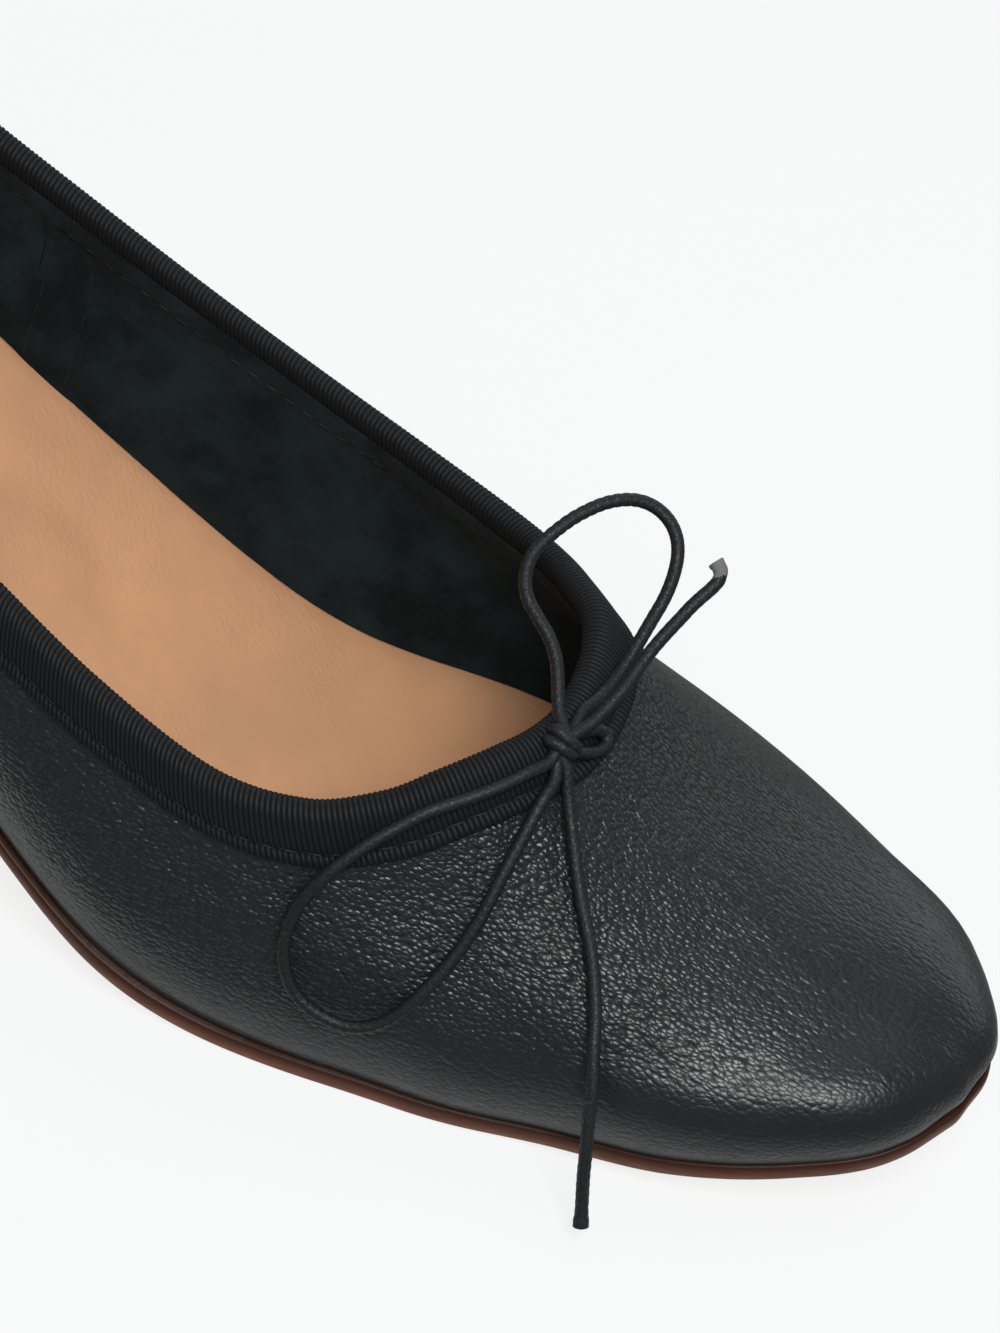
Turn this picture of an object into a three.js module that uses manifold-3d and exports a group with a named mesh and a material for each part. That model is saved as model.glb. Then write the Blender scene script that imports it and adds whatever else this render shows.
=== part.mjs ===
import * as THREE from 'three';
import { mergeVertices } from 'three/addons/utils/BufferGeometryUtils.js';
import Module from 'manifold-3d';

// A right kitten heel pump with a bound topline and a thin cord bow. Millimetres, +X to the toe,
// +Y to the inner side of the foot, +Z up, with the origin at the centre of the heel's tread.
// Inside the functions, lengths along the shoe are measured from the back of the heel.

// Last and sole
const LENGTH = 246;
const BALL_WIDTH = 71;
const HEEL_RISE = 43;
const SEAT_PITCH = 4.5;
const SEAT_LENGTH = 50;
const TOE_SPRING = 12.3;
const SOLE_THICKNESS = 3;
const WAIST_THICKNESS = 2;
const SOLE_EDGE_ROUND = 0.6;
const INSOLE_THICKNESS = 2.5;

// Upper, measured at its outer face; heights are taken above the top of the sole
const WALL = 1.8;
const FEATHER_INSET = 1;
const VAMP_LENGTH = 65;
const OPENING_WIDTH = 62;
const TOPLINE_SETBACK = 4.5;
const BACK_HEIGHT = 55;
const SIDE_HEIGHT = 30.4;
const THROAT_HEIGHT = 42.9;
const SIDE_BULGE = 3.2;
const SIDE_STAND = 22.3;
const SIDE_REACH = 18;
const SIDE_LEAN = 0.27;
const TOE_BULGE = 3.5;
const TOE_STAND = 17.3;
const TOE_FULLNESS = 5.7;
const TOE_DIP = 2.6;
const VAMP_REACH = 32.7;
const VAMP_DROP = 40.2;

// Ribbed binding folded over the topline
const BINDING_THICKNESS = 0.8;
const BINDING_BAND = 8.5;

// Heel and its top piece
const TREAD_SETBACK = 14;
const TREAD_LENGTH = 20;
const TREAD_WIDTH = 24;
const BREAST_HOLLOW = 2;
const HEEL_TIP_THICKNESS = 5;
const HEEL_TIP_ROUND = 0.5;

// Bow
const CORD_DIAMETER = 1.6;
const KNOT_LENGTH = 4.8;
const KNOT_WIDTH = 3.8;
const KNOT_HEIGHT = 2.9;

// Gap between pieces that meet
const CLEARANCE = 0.3;

// Sole outline: along is a share of LENGTH, outer and inner are shares of BALL_WIDTH
const SOLE_OUTLINE = [
  { along: 0.025, outer: 0.235, inner: 0.23 },
  { along: 0.075, outer: 0.335, inner: 0.328 },
  { along: 0.15, outer: 0.38, inner: 0.37 },
  { along: 0.25, outer: 0.39, inner: 0.364 },
  { along: 0.36, outer: 0.412, inner: 0.334 },
  { along: 0.47, outer: 0.468, inner: 0.355 },
  { along: 0.57, outer: 0.547, inner: 0.391 },
  { along: 0.66, outer: 0.526, inner: 0.475 },
  { along: 0.74, outer: 0.474, inner: 0.479 },
  { along: 0.81, outer: 0.414, inner: 0.449 },
  { along: 0.875, outer: 0.376, inner: 0.367 },
  { along: 0.93, outer: 0.304, inner: 0.272 },
  { along: 0.972, outer: 0.204, inner: 0.187 },
];

// Topline, one row for each row of the sole outline: along is a share of the opening's length,
// outer and inner are shares of OPENING_WIDTH, toBack and toThroat are the shares of the way from
// SIDE_HEIGHT to BACK_HEIGHT and to THROAT_HEIGHT
const TOPLINE = [
  { along: 0.03, outer: 0.2, inner: 0.195, toBack: 0.975, toThroat: 0 },
  { along: 0.086, outer: 0.282, inner: 0.276, toBack: 0.84, toThroat: 0 },
  { along: 0.19, outer: 0.342, inner: 0.336, toBack: 0.5, toThroat: 0 },
  { along: 0.329, outer: 0.385, inner: 0.38, toBack: 0.13, toThroat: 0 },
  { along: 0.471, outer: 0.423, inner: 0.418, toBack: 0, toThroat: 0 },
  { along: 0.601, outer: 0.464, inner: 0.459, toBack: 0, toThroat: 0.171 },
  { along: 0.71, outer: 0.499, inner: 0.491, toBack: 0, toThroat: 0.343 },
  { along: 0.81, outer: 0.51, inner: 0.496, toBack: 0, toThroat: 0.445 },
  { along: 0.879, outer: 0.466, inner: 0.455, toBack: 0, toThroat: 0.553 },
  { along: 0.924, outer: 0.382, inner: 0.389, toBack: 0, toThroat: 0.697 },
  { along: 0.952, outer: 0.292, inner: 0.317, toBack: 0, toThroat: 0.88 },
  { along: 0.978, outer: 0.192, inner: 0.242, toBack: 0, toThroat: 1 },
  { along: 0.994, outer: 0.096, inner: 0.135, toBack: 0, toThroat: 1 },
];

// Heel sections: down is a share of the heel's height, and back, breast and width are the shares
// of the way from the seat's size to the tread's
const HEEL_SECTIONS = [
  { down: 0, back: 0, breast: 0, width: 0 },
  { down: 0.08, back: 0.07, breast: 0.06, width: 0.05 },
  { down: 0.2, back: 0.25, breast: 0.33, width: 0.27 },
  { down: 0.4, back: 0.57, breast: 0.72, width: 0.62 },
  { down: 0.6, back: 0.82, breast: 0.92, width: 0.85 },
  { down: 0.8, back: 0.96, breast: 1, width: 0.97 },
  { down: 1, back: 1, breast: 1, width: 1 },
];

// Where the bow's knot sits, what it faces and where its wrap points
const KNOT_PLACE = [184.3, -6, 46];
const KNOT_FACING = [0.7, -0.2, 0.7];
const KNOT_ALONG = [0.7, 0.2, -0.64];

// The cord's routes, by hand: two loops out of the knot and back, two ends, and the short stretch
// beside the knot that runs back into the binding
const CORD_ROUTES = {
  bow_loop_near: [
    [183.1, -9.4, 44.9], [181.5, -12.7, 44.7], [179.6, -15.8, 44.2], [177.5, -18.5, 43.6],
    [175.2, -21, 42.9], [172.9, -23.4, 41.9], [171, -25.7, 40.5], [168.9, -28.2, 38.8],
    [167, -30.6, 36.7], [165.5, -32.5, 34.5], [164.4, -33.9, 32.1], [163.6, -34.9, 29.7],
    [163.3, -35.6, 27.2], [163.4, -36.4, 24.9], [164, -37, 22.6], [165.2, -37.5, 20.3],
    [166.8, -37.6, 18.3], [168.9, -37.5, 16.9], [171.2, -37.1, 16.1], [173.3, -36.8, 15.9],
    [175.3, -36.4, 16.3], [177.1, -35.8, 17.2], [178.7, -35, 18.7], [180.1, -33.9, 20.8],
    [181.3, -32.4, 23.2], [182.4, -30.4, 25.9], [183.3, -27.9, 28.9], [183.9, -25.1, 32.3],
    [184.1, -22.1, 35.6], [184.3, -18.9, 38.5], [184.4, -16, 40.9], [184.5, -13.3, 42.6],
    [184.5, -10.6, 43.3],
  ],
  bow_loop_far: [
    [181.3, -4, 47.2], [180.3, -2.6, 48], [178.9, -0.4, 49.3], [177.5, 1.4, 50.4],
    [175.6, 2.9, 51.5], [173.4, 4, 52.5], [171.4, 5.1, 53.4], [170, 6.6, 54.4],
    [169.3, 8.4, 55.4], [169.2, 10.2, 56.2], [169.7, 12, 57], [170.4, 13.8, 57.7],
    [171.3, 15.7, 58.4], [172.4, 17.6, 58.9], [173.6, 19.4, 59.2], [175, 21, 59.3],
    [176.6, 22.5, 59], [178.2, 23.4, 58.5], [180, 23.8, 57.7], [181.7, 23.5, 56.8],
    [183.1, 22.6, 55.8], [184.1, 21.2, 54.7], [184.7, 19.5, 53.5], [185, 17.8, 52.4],
    [185.1, 16, 51.4], [185, 14.2, 50.4], [184.9, 11.4, 49.1], [184.8, 8.5, 47.7],
    [184.6, 5.9, 46.7], [184.3, 3.4, 46.2], [183.9, 0.9, 46.3], [183.4, -1.3, 46.5],
  ],
  bow_end_near: [
    [186.5, -8.6, 42.5], [188.2, -10.6, 39.7], [190.3, -13.1, 37.1], [192.4, -15.6, 34.7],
    [194.6, -18.1, 32.4], [196.8, -20.9, 30.1], [198.9, -23.9, 27.8], [200.9, -27.1, 25.4],
    [202.8, -30, 22.9], [204.4, -32.4, 19.9], [205.8, -34.5, 16.5], [206.9, -36.2, 13.2],
    [207.8, -37.6, 10], [208.8, -38.9, 6.9], [209.8, -40.2, 3.9],
  ],
  bow_end_far: [
    [185.1, -2.9, 46.8], [185.6, -1.2, 47.3], [186.1, 0.6, 48], [186.6, 2.8, 48.9],
    [186.9, 5.3, 49.9], [187.2, 7.7, 50.9], [187.6, 9.6, 51.8], [188.1, 11.4, 52.7],
    [188.6, 13.1, 53.5], [189.1, 14.7, 54.4], [189.7, 16.2, 55.2], [190.3, 17.6, 55.9],
    [190.6, 18.8, 56.6], [190.2, 19.7, 57.3], [189.3, 20.1, 57.8],
  ],
};
const KNOT_TAIL = [[185.2, -5.7, 45.3], [187, -5.3, 44.2], [188.7, -4.9, 42.7], [189.6, -4.7, 41.4]];

// Places along the last, as shares of LENGTH
const BALL_TREAD = { back: 0.66, front: 0.735 };
const WAIST = { back: 0.4, front: 0.6 };
const VAMP_BLEND = { back: 0.62, front: 0.98 };
// Where a profile turns from a quarter to a vamp, as its reach over its height
const VAMP_SLANT = { quarter: 0.345, vamp: 1.29 };
const SPRING_CURVE = 1.8;

// Fineness of the solids
const STEPS_PER_ROW = 4;
const WALL_ROWS = [0.25, 0.5, 0.7, 0.87, 1];
const CORD_SIDES = 8;
const CORD_STEP = 4.4;
const KNOT_SIDES = 12;
const BREAST_STEPS = 4;

const mix = THREE.MathUtils.lerp;
const treadCentre = TREAD_SETBACK + TREAD_LENGTH / 2;
const openingLength = LENGTH - VAMP_LENGTH - TOPLINE_SETBACK;
const bindingRadius = WALL / 2 + CLEARANCE + BINDING_THICKNESS;
const stationCount = 2 * (SOLE_OUTLINE.length + 1) * STEPS_PER_ROW;

function ease(value, low, high) {
  return THREE.MathUtils.smoothstep(value, low, high);
}

// Height of the top of the sole above the floor, from the heel's seat to the sprung toe
function soleTop(x) {
  const seat = SEAT_LENGTH / LENGTH;
  const share = THREE.MathUtils.clamp(x / LENGTH, 0, 1);
  const fall = HEEL_RISE * (1 - ease(share, seat, BALL_TREAD.back));
  const pitch = SEAT_PITCH * Math.max(0, 1 - share / seat);
  const toe = Math.max(0, (share - BALL_TREAD.front) / (1 - BALL_TREAD.front));
  return SOLE_THICKNESS + fall + pitch + TOE_SPRING * toe ** SPRING_CURVE;
}

function soleThickness(x) {
  return mix(WAIST_THICKNESS, SOLE_THICKNESS, ease(x / LENGTH, WAIST.back, WAIST.front));
}

// A closed line from the back of the heel along the outer side to the front, and back inside
function closedLine(back, outerSide, front, innerSide) {
  const points = [back, ...outerSide, front, ...innerSide.reverse()];
  return new THREE.CatmullRomCurve3(points, true, 'catmullrom', 0.5);
}

const soleLine = closedLine(
  new THREE.Vector3(0, 0, 0),
  SOLE_OUTLINE.map((row) => new THREE.Vector3(row.along * LENGTH, -row.outer * BALL_WIDTH, 0)),
  new THREE.Vector3(LENGTH, 0, 0),
  SOLE_OUTLINE.map((row) => new THREE.Vector3(row.along * LENGTH, row.inner * BALL_WIDTH, 0)),
);

function toplinePoint(row, side, share) {
  const x = TOPLINE_SETBACK + row.along * openingLength;
  const backward = row.toBack * (BACK_HEIGHT - SIDE_HEIGHT);
  const forward = row.toThroat * (THROAT_HEIGHT - SIDE_HEIGHT);
  return new THREE.Vector3(x, side * share * OPENING_WIDTH, soleTop(x) + SIDE_HEIGHT + backward + forward);
}

const throatX = LENGTH - VAMP_LENGTH;
const topLine = closedLine(
  new THREE.Vector3(TOPLINE_SETBACK, 0, soleTop(0) + BACK_HEIGHT),
  TOPLINE.map((row) => toplinePoint(row, -1, row.outer)),
  new THREE.Vector3(throatX, 0, soleTop(throatX) + THROAT_HEIGHT),
  TOPLINE.map((row) => toplinePoint(row, 1, row.inner)),
);

// Outward direction in plan at a share of the way around the sole
function outward(around) {
  const along = soleLine.getTangent(around);
  return new THREE.Vector3(along.y, -along.x, 0).normalize();
}

function onSole(around, inset, height) {
  const point = soleLine.getPoint(around).addScaledVector(outward(around), -inset);
  point.z = soleTop(point.x) + height;
  return point;
}

// Curve through the first and last control points, drawn towards those between
class BezierLine extends THREE.Curve {
  constructor(controls) {
    super();
    this.controls = controls;
  }

  getPoint(share) {
    let row = this.controls;
    while (row.length > 1) {
      row = row.slice(1).map((next, index) => row[index].clone().lerp(next, share));
    }
    return row[0];
  }
}

// Curve of the upper's outer face from the feather line up to the topline
function profile(around) {
  const sole = soleLine.getPoint(around);
  const side = outward(around);
  const feather = onSole(around, FEATHER_INSET, CLEARANCE);
  const top = topLine.getPoint(around);
  const toToe = ease(sole.x / LENGTH, VAMP_BLEND.back, VAMP_BLEND.front);
  const lower = feather.clone().addScaledVector(side, mix(SIDE_BULGE, TOE_BULGE, toToe));
  lower.z += mix(SIDE_STAND, TOE_STAND, toToe);
  const across = new THREE.Vector3(sole.x - top.x, sole.y - top.y, 0);
  const reach = across.length();
  const slant = ease(reach / (top.z - feather.z), VAMP_SLANT.quarter, VAMP_SLANT.vamp);
  const handle = mix(SIDE_REACH, VAMP_REACH, slant);
  const steepness = mix(Math.atan2(1, SIDE_LEAN), Math.atan2(VAMP_DROP, VAMP_REACH), slant);
  const away = across.addScaledVector(side, SIDE_REACH / 3).normalize();
  const upper = top.clone().addScaledVector(away, handle * Math.cos(steepness));
  upper.z -= handle * Math.sin(steepness);
  const shoulder = lower.clone().lerp(upper, 0.5).addScaledVector(side, TOE_FULLNESS * toToe);
  shoulder.z -= TOE_DIP * toToe;
  const wall = feather.clone().lerp(lower, 0.75);
  const throat = top.clone().lerp(upper, 0.75);
  return new BezierLine([feather, wall, shoulder, throat, top]);
}

// The upper's outer face near one station, with its neighbours for the normal
function station(around) {
  const beside = 0.0005;
  const lines = [around - beside, around, around + beside].map((place) => profile((place + 1) % 1));
  return { around, before: lines[0], here: lines[1], after: lines[2], length: lines[1].getLength() };
}

// Point down mm below the topline along the profile, and depth mm inward from the outer face
function wallPoint(place, down, depth) {
  const share = THREE.MathUtils.clamp(1 - down / place.length, 0, 1);
  const along = place.after.getPointAt(share).sub(place.before.getPointAt(share));
  const normal = along.cross(place.here.getTangentAt(share)).normalize();
  return place.here.getPointAt(share).addScaledVector(normal, -depth);
}

const stations = [];
for (let index = 0; index < stationCount; index += 1) {
  stations.push(station(index / stationCount));
}

// Geometry from corner triples, with the corners that coincide merged
function solid(corners) {
  const kept = [];
  for (const [a, b, c] of corners) {
    const flat = a.distanceTo(b) < 1e-6 || b.distanceTo(c) < 1e-6 || c.distanceTo(a) < 1e-6;
    if (!flat) {
      kept.push(a, b, c);
    }
  }
  return mergeVertices(new THREE.BufferGeometry().setFromPoints(kept), 1e-5);
}

// Triangles between two rows of points; closed rows join their last point to their first
function strip(lower, upper, closed) {
  const faces = [];
  const last = closed ? lower.length : lower.length - 1;
  for (let index = 0; index < last; index += 1) {
    const next = (index + 1) % lower.length;
    faces.push([lower[index], lower[next], upper[next]]);
    faces.push([lower[index], upper[next], upper[index]]);
  }
  return faces;
}

// Shell swept around the whole shoe; section gives a closed loop of points at each station
function sweptAround(section) {
  const loops = stations.map(section);
  const faces = [];
  loops.forEach((loop, index) => {
    faces.push(...strip(loop, loops[(index + 1) % loops.length], true));
  });
  return solid(faces.map(([a, b, c]) => [a, c, b]));
}

const bandRows = [bindingRadius, (bindingRadius + BINDING_BAND) / 2, BINDING_BAND];

function upperSection(place) {
  const besideInsole = place.length - INSOLE_THICKNESS;
  const lowerRows = WALL_ROWS.map((share) => mix(BINDING_BAND, besideInsole, share));
  const rows = [...bandRows, ...lowerRows, place.length];
  const outer = rows.map((down) => wallPoint(place, down, 0));
  const inner = rows.map((down) => wallPoint(place, down, WALL));
  inner[rows.length - 1] = onSole(place.around, FEATHER_INSET + WALL, CLEARANCE);
  const edge = wallPoint(place, bindingRadius - WALL / 2, WALL / 2);
  return [...outer.reverse(), edge, ...inner];
}

function bindingSection(place) {
  const outside = CLEARANCE + BINDING_THICKNESS;
  const onArc = (radius, angle) => {
    const down = bindingRadius - radius * Math.sin(angle);
    return wallPoint(place, down, WALL / 2 - radius * Math.cos(angle));
  };
  const arc = [Math.PI / 4, Math.PI / 2, (3 * Math.PI) / 4].map((angle) => onArc(bindingRadius, angle));
  const upward = [...bandRows].reverse();
  return [
    ...upward.map((down) => wallPoint(place, down, -outside)),
    ...arc,
    ...bandRows.map((down) => wallPoint(place, down, WALL + outside)),
    ...upward.map((down) => wallPoint(place, down, WALL + CLEARANCE)),
    onArc(WALL / 2 + CLEARANCE, Math.PI / 2),
    ...bandRows.map((down) => wallPoint(place, down, -CLEARANCE)),
  ];
}

// Share of the way around at which the sole's outer side reaches a length
function aroundAt(x) {
  let low = 0;
  let high = 0.5;
  while (high - low > 1e-9) {
    const middle = (low + high) / 2;
    if (soleLine.getPoint(middle).x < x) {
      low = middle;
    } else {
      high = middle;
    }
  }
  return low;
}

// Shares of the way around, from start on the outer side over the toe to the inner side
function placesAround(start) {
  const places = [start];
  for (let index = 1; index < stationCount; index += 1) {
    const around = index / stationCount;
    if (around > start + 1e-4 && around < 1 - start - 1e-4) {
      places.push(around);
    }
  }
  return [...places, 1 - start];
}

// Flat cover of a ring whose points pair up across the shoe
function cover(ring) {
  const faces = [];
  const half = Math.ceil(ring.length / 2);
  for (let index = 0; index < half - 1; index += 1) {
    const facing = ring.length - 1 - index;
    faces.push([ring[index], ring[index + 1], ring[facing - 1]]);
    faces.push([ring[index], ring[facing - 1], ring[facing]]);
  }
  return faces;
}

// Plate between rings from its underside up
function plate(rings) {
  const faces = [];
  for (let level = 0; level < rings.length - 1; level += 1) {
    faces.push(...strip(rings[level], rings[level + 1], true));
  }
  faces.push(...cover(rings[rings.length - 1]));
  faces.push(...cover(rings[0]).map(([a, b, c]) => [a, c, b]));
  return solid(faces);
}

function outsole() {
  const places = placesAround(aroundAt(SEAT_LENGTH + CLEARANCE));
  const ring = (inset, rise) => places.map((around) => {
    const point = onSole(around, inset, 0);
    point.x = Math.max(point.x, SEAT_LENGTH + CLEARANCE);
    point.z = soleTop(point.x) - soleThickness(point.x) + rise(point.x);
    return point;
  });
  return plate([
    ring(SOLE_EDGE_ROUND, () => 0),
    ring(0, () => SOLE_EDGE_ROUND),
    ring(0, (x) => soleThickness(x)),
  ]);
}

function insole() {
  const places = [...stations, stations[0]];
  const lower = places.map((place) => onSole(place.around, FEATHER_INSET + WALL + CLEARANCE, CLEARANCE));
  const upper = places.map((place) => wallPoint(place, place.length - INSOLE_THICKNESS, WALL + CLEARANCE));
  return plate([lower, upper]);
}

// The seat's outline as shares: along runs from the heel's back to its breast, across is a share
// of half the seat's width; the breast's own points close it, from the outer side to the inner
function seatOutline() {
  const breast = aroundAt(SEAT_LENGTH);
  const widest = Math.abs(soleLine.getPoint(breast).y);
  const outline = [];
  const share = (around) => {
    const point = onSole((around + 1) % 1, FEATHER_INSET, 0);
    return { along: Math.min(1, point.x / SEAT_LENGTH), across: point.y / widest };
  };
  const steps = Math.ceil(breast * stationCount);
  for (let index = -steps; index <= steps; index += 1) {
    outline.push(share(THREE.MathUtils.clamp(index / stationCount, -breast, breast)));
  }
  const corners = [outline[0], outline[outline.length - 1]];
  corners.forEach((corner) => { corner.along = 1; });
  for (let index = 1; index < BREAST_STEPS; index += 1) {
    const step = index / BREAST_STEPS;
    const across = mix(corners[1].across, corners[0].across, step);
    outline.push({ along: 1, across, hollow: 4 * step * (1 - step) });
  }
  return { outline, widest };
}

const seat = seatOutline();

function heelRing(section, height) {
  const back = mix(0, TREAD_SETBACK, section.back);
  const breast = mix(SEAT_LENGTH, TREAD_SETBACK + TREAD_LENGTH, section.breast);
  const halfWidth = mix(seat.widest, TREAD_WIDTH / 2, section.width);
  return seat.outline.map(({ along, across, hollow = 0 }) => {
    const x = mix(back, breast, along) - hollow * BREAST_HOLLOW * Math.sin(Math.PI * section.down);
    return new THREE.Vector3(x, across * halfWidth, height(x));
  });
}

// Closed stack of rings, from the lowest up, with covers cut to the rings' outline
function stack(rings) {
  const faces = [];
  for (let level = 0; level < rings.length - 1; level += 1) {
    faces.push(...strip(rings[level], rings[level + 1], true));
  }
  const cap = (ring) => {
    const outline = ring.map((point) => new THREE.Vector2(point.x, point.y));
    return THREE.ShapeUtils.triangulateShape(outline, []).map((face) => face.map((index) => ring[index]));
  };
  faces.push(...cap(rings[rings.length - 1]));
  faces.push(...cap(rings[0]).map(([a, b, c]) => [a, c, b]));
  return solid(faces);
}

function heel() {
  const foot = HEEL_TIP_THICKNESS + CLEARANCE;
  const rings = HEEL_SECTIONS.map((section) => (
    heelRing(section, (x) => mix(soleTop(x), foot, section.down))
  ));
  return stack(rings.reverse());
}

function heelTip() {
  const tread = HEEL_SECTIONS[HEEL_SECTIONS.length - 1];
  const ring = (inset, height) => {
    const share = 1 - (2 * inset) / TREAD_WIDTH;
    return heelRing(tread, () => height).map((point) => new THREE.Vector3(
      treadCentre + (point.x - treadCentre) * share,
      point.y * share,
      height,
    ));
  };
  return stack([
    ring(HEEL_TIP_ROUND, 0),
    ring(0, HEEL_TIP_ROUND),
    ring(0, HEEL_TIP_THICKNESS),
  ]);
}

function vector([x, y, z]) {
  return new THREE.Vector3(x, y, z);
}

// Round cord along a route
function cord(route) {
  const path = new THREE.CatmullRomCurve3(route.map(vector), false, 'centripetal');
  const shape = new THREE.Shape();
  shape.absarc(0, 0, CORD_DIAMETER / 2, 0, 2 * Math.PI);
  return new THREE.ExtrudeGeometry(new THREE.Shape(shape.getSpacedPoints(CORD_SIDES).slice(0, -1)), {
    steps: Math.ceil(path.getLength() / CORD_STEP),
    extrudePath: path,
    bevelEnabled: false,
  });
}

const wasm = await Module();
wasm.setup();

function manifold(geometry) {
  const bare = geometry.clone();
  bare.deleteAttribute('normal');
  bare.deleteAttribute('uv');
  const merged = mergeVertices(bare, 1e-5);
  return new wasm.Manifold(new wasm.Mesh({
    numProp: 3,
    vertProperties: new Float32Array(merged.attributes.position.array),
    triVerts: new Uint32Array(merged.index.array),
  }));
}

function joined(geometries) {
  const body = geometries.map(manifold).reduce((sum, next) => sum.add(next)).getMesh();
  const geometry = new THREE.BufferGeometry();
  geometry.setAttribute('position', new THREE.BufferAttribute(new Float32Array(body.vertProperties), 3));
  geometry.setIndex(new THREE.BufferAttribute(new Uint32Array(body.triVerts), 1));
  return geometry;
}

// The knot's turned core, the wrap around it and the stretch that runs back into the binding
function knot() {
  const facing = vector(KNOT_FACING).normalize();
  const side = facing.clone().cross(vector(KNOT_ALONG)).normalize();
  const frame = new THREE.Matrix4().makeBasis(side.clone().cross(facing), side, facing);
  frame.setPosition(vector(KNOT_PLACE));
  const radius = KNOT_WIDTH / 2;
  const core = new THREE.SphereGeometry(radius, KNOT_SIDES, KNOT_SIDES / 2);
  core.scale(KNOT_LENGTH / KNOT_WIDTH, 1, (KNOT_HEIGHT - CORD_DIAMETER / 4) / KNOT_WIDTH);
  const wrap = new THREE.TorusGeometry(radius, CORD_DIAMETER / 2, CORD_SIDES, KNOT_SIDES);
  wrap.rotateY(Math.PI / 2);
  wrap.scale(1, 1, KNOT_HEIGHT / (KNOT_WIDTH + CORD_DIAMETER));
  return joined([core.applyMatrix4(frame), wrap.applyMatrix4(frame), cord(KNOT_TAIL)]);
}

function leather(color, roughness) {
  return new THREE.MeshStandardMaterial({ color, roughness, metalness: 0 });
}

function piece(name, geometry, material) {
  const mesh = new THREE.Mesh(geometry, material);
  mesh.name = name;
  return mesh;
}

const shoe = new THREE.Group();
shoe.position.x = -treadCentre;
shoe.add(
  piece('outsole', outsole(), leather('#6b4034', 0.5)),
  piece('heel', heel(), leather('#16191b', 0.5)),
  piece('heel_tip', heelTip(), leather('#101112', 0.6)),
  piece('insole', insole(), leather('#c8966e', 0.6)),
  piece('upper', sweptAround(upperSection), leather('#14181a', 0.45)),
  piece('collar_binding', sweptAround(bindingSection), leather('#0b0d0f', 0.8)),
);

const cordMaterial = leather('#17191c', 0.6);
const bow = new THREE.Group();
bow.add(piece('bow_knot', knot(), cordMaterial));
for (const [name, route] of Object.entries(CORD_ROUTES)) {
  bow.add(piece(name, cord(route), cordMaterial.clone()));
}
shoe.add(bow);

const part = new THREE.Group();
part.add(shoe);

export default part;
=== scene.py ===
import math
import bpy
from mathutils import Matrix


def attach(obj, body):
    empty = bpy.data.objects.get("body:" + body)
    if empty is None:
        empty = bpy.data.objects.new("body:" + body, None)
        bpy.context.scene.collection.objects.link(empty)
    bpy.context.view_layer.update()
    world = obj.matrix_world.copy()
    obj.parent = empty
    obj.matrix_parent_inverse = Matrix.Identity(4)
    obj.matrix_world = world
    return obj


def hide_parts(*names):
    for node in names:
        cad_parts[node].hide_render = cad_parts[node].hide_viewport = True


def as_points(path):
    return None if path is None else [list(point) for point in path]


bl_info = {
    "name": "Kitten heel pump",
    "version": (1, 0, 0),
    "blender": (4, 5, 0),
    "location": "3D View > Sidebar > Pump",
    "description": "Dresses the kitten heel pump in leather, ribbed ribbon, suede and a cord bow",
    "category": "Object",
}

import bmesh
import bpy
import numpy as np
from mathutils import Matrix, Vector

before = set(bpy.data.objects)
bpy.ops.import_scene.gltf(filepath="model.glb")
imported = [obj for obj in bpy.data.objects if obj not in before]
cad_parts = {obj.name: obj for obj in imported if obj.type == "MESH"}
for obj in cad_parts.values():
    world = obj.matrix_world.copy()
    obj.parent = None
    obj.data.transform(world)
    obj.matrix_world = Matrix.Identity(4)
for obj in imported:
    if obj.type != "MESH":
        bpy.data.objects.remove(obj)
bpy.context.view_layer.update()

# Last and sole, in metres; lengths along the shoe are measured from the back of the heel
LENGTH = 0.246
BALL_WIDTH = 0.071
HEEL_RISE = 0.043
SEAT_PITCH = 0.0045
SEAT_LENGTH = 0.050
TOE_SPRING = 0.0123
SOLE_THICKNESS = 0.003
WAIST_THICKNESS = 0.002
SOLE_EDGE_ROUND = 0.0006
INSOLE_THICKNESS = 0.0025

# Upper, measured at its outer face
WALL = 0.0018
FEATHER_INSET = 0.001
VAMP_LENGTH = 0.065
OPENING_WIDTH = 0.062
TOPLINE_SETBACK = 0.0045
BACK_HEIGHT = 0.055
SIDE_HEIGHT = 0.0304
THROAT_HEIGHT = 0.0429
SIDE_BULGE = 0.0032
SIDE_STAND = 0.0223
SIDE_REACH = 0.018
SIDE_LEAN = 0.27
TOE_BULGE = 0.0035
TOE_STAND = 0.0173
TOE_FULLNESS = 0.0057
TOE_DIP = 0.0026
VAMP_REACH = 0.0327
VAMP_DROP = 0.0402

# Binding, heel and clearance
BINDING_THICKNESS = 0.0008
BINDING_BAND = 0.0085
BINDING_INNER = 0.0006
TREAD_SETBACK = 0.014
TREAD_LENGTH = 0.020
TREAD_WIDTH = 0.024
BREAST_HOLLOW = 0.002
HEEL_TIP_THICKNESS = 0.005
CLEARANCE = 0.0003

# Shares of the length where the tread, the waist and the vamp begin and end
BALL_TREAD = (0.66, 0.735)
WAIST = (0.4, 0.6)
VAMP_BLEND = (0.62, 0.98)
VAMP_SLANT = (0.345, 1.29)
SPRING_CURVE = 1.8

# Share of the length, then the outer and the inner half width as shares of the ball's width
SOLE_OUTLINE = [
    (0.025, 0.235, 0.23), (0.075, 0.335, 0.328), (0.15, 0.38, 0.37), (0.25, 0.39, 0.364),
    (0.36, 0.412, 0.334), (0.47, 0.468, 0.355), (0.57, 0.547, 0.391), (0.66, 0.526, 0.475),
    (0.74, 0.474, 0.479), (0.81, 0.414, 0.449), (0.875, 0.376, 0.367), (0.93, 0.304, 0.272),
    (0.972, 0.204, 0.187),
]

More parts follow.
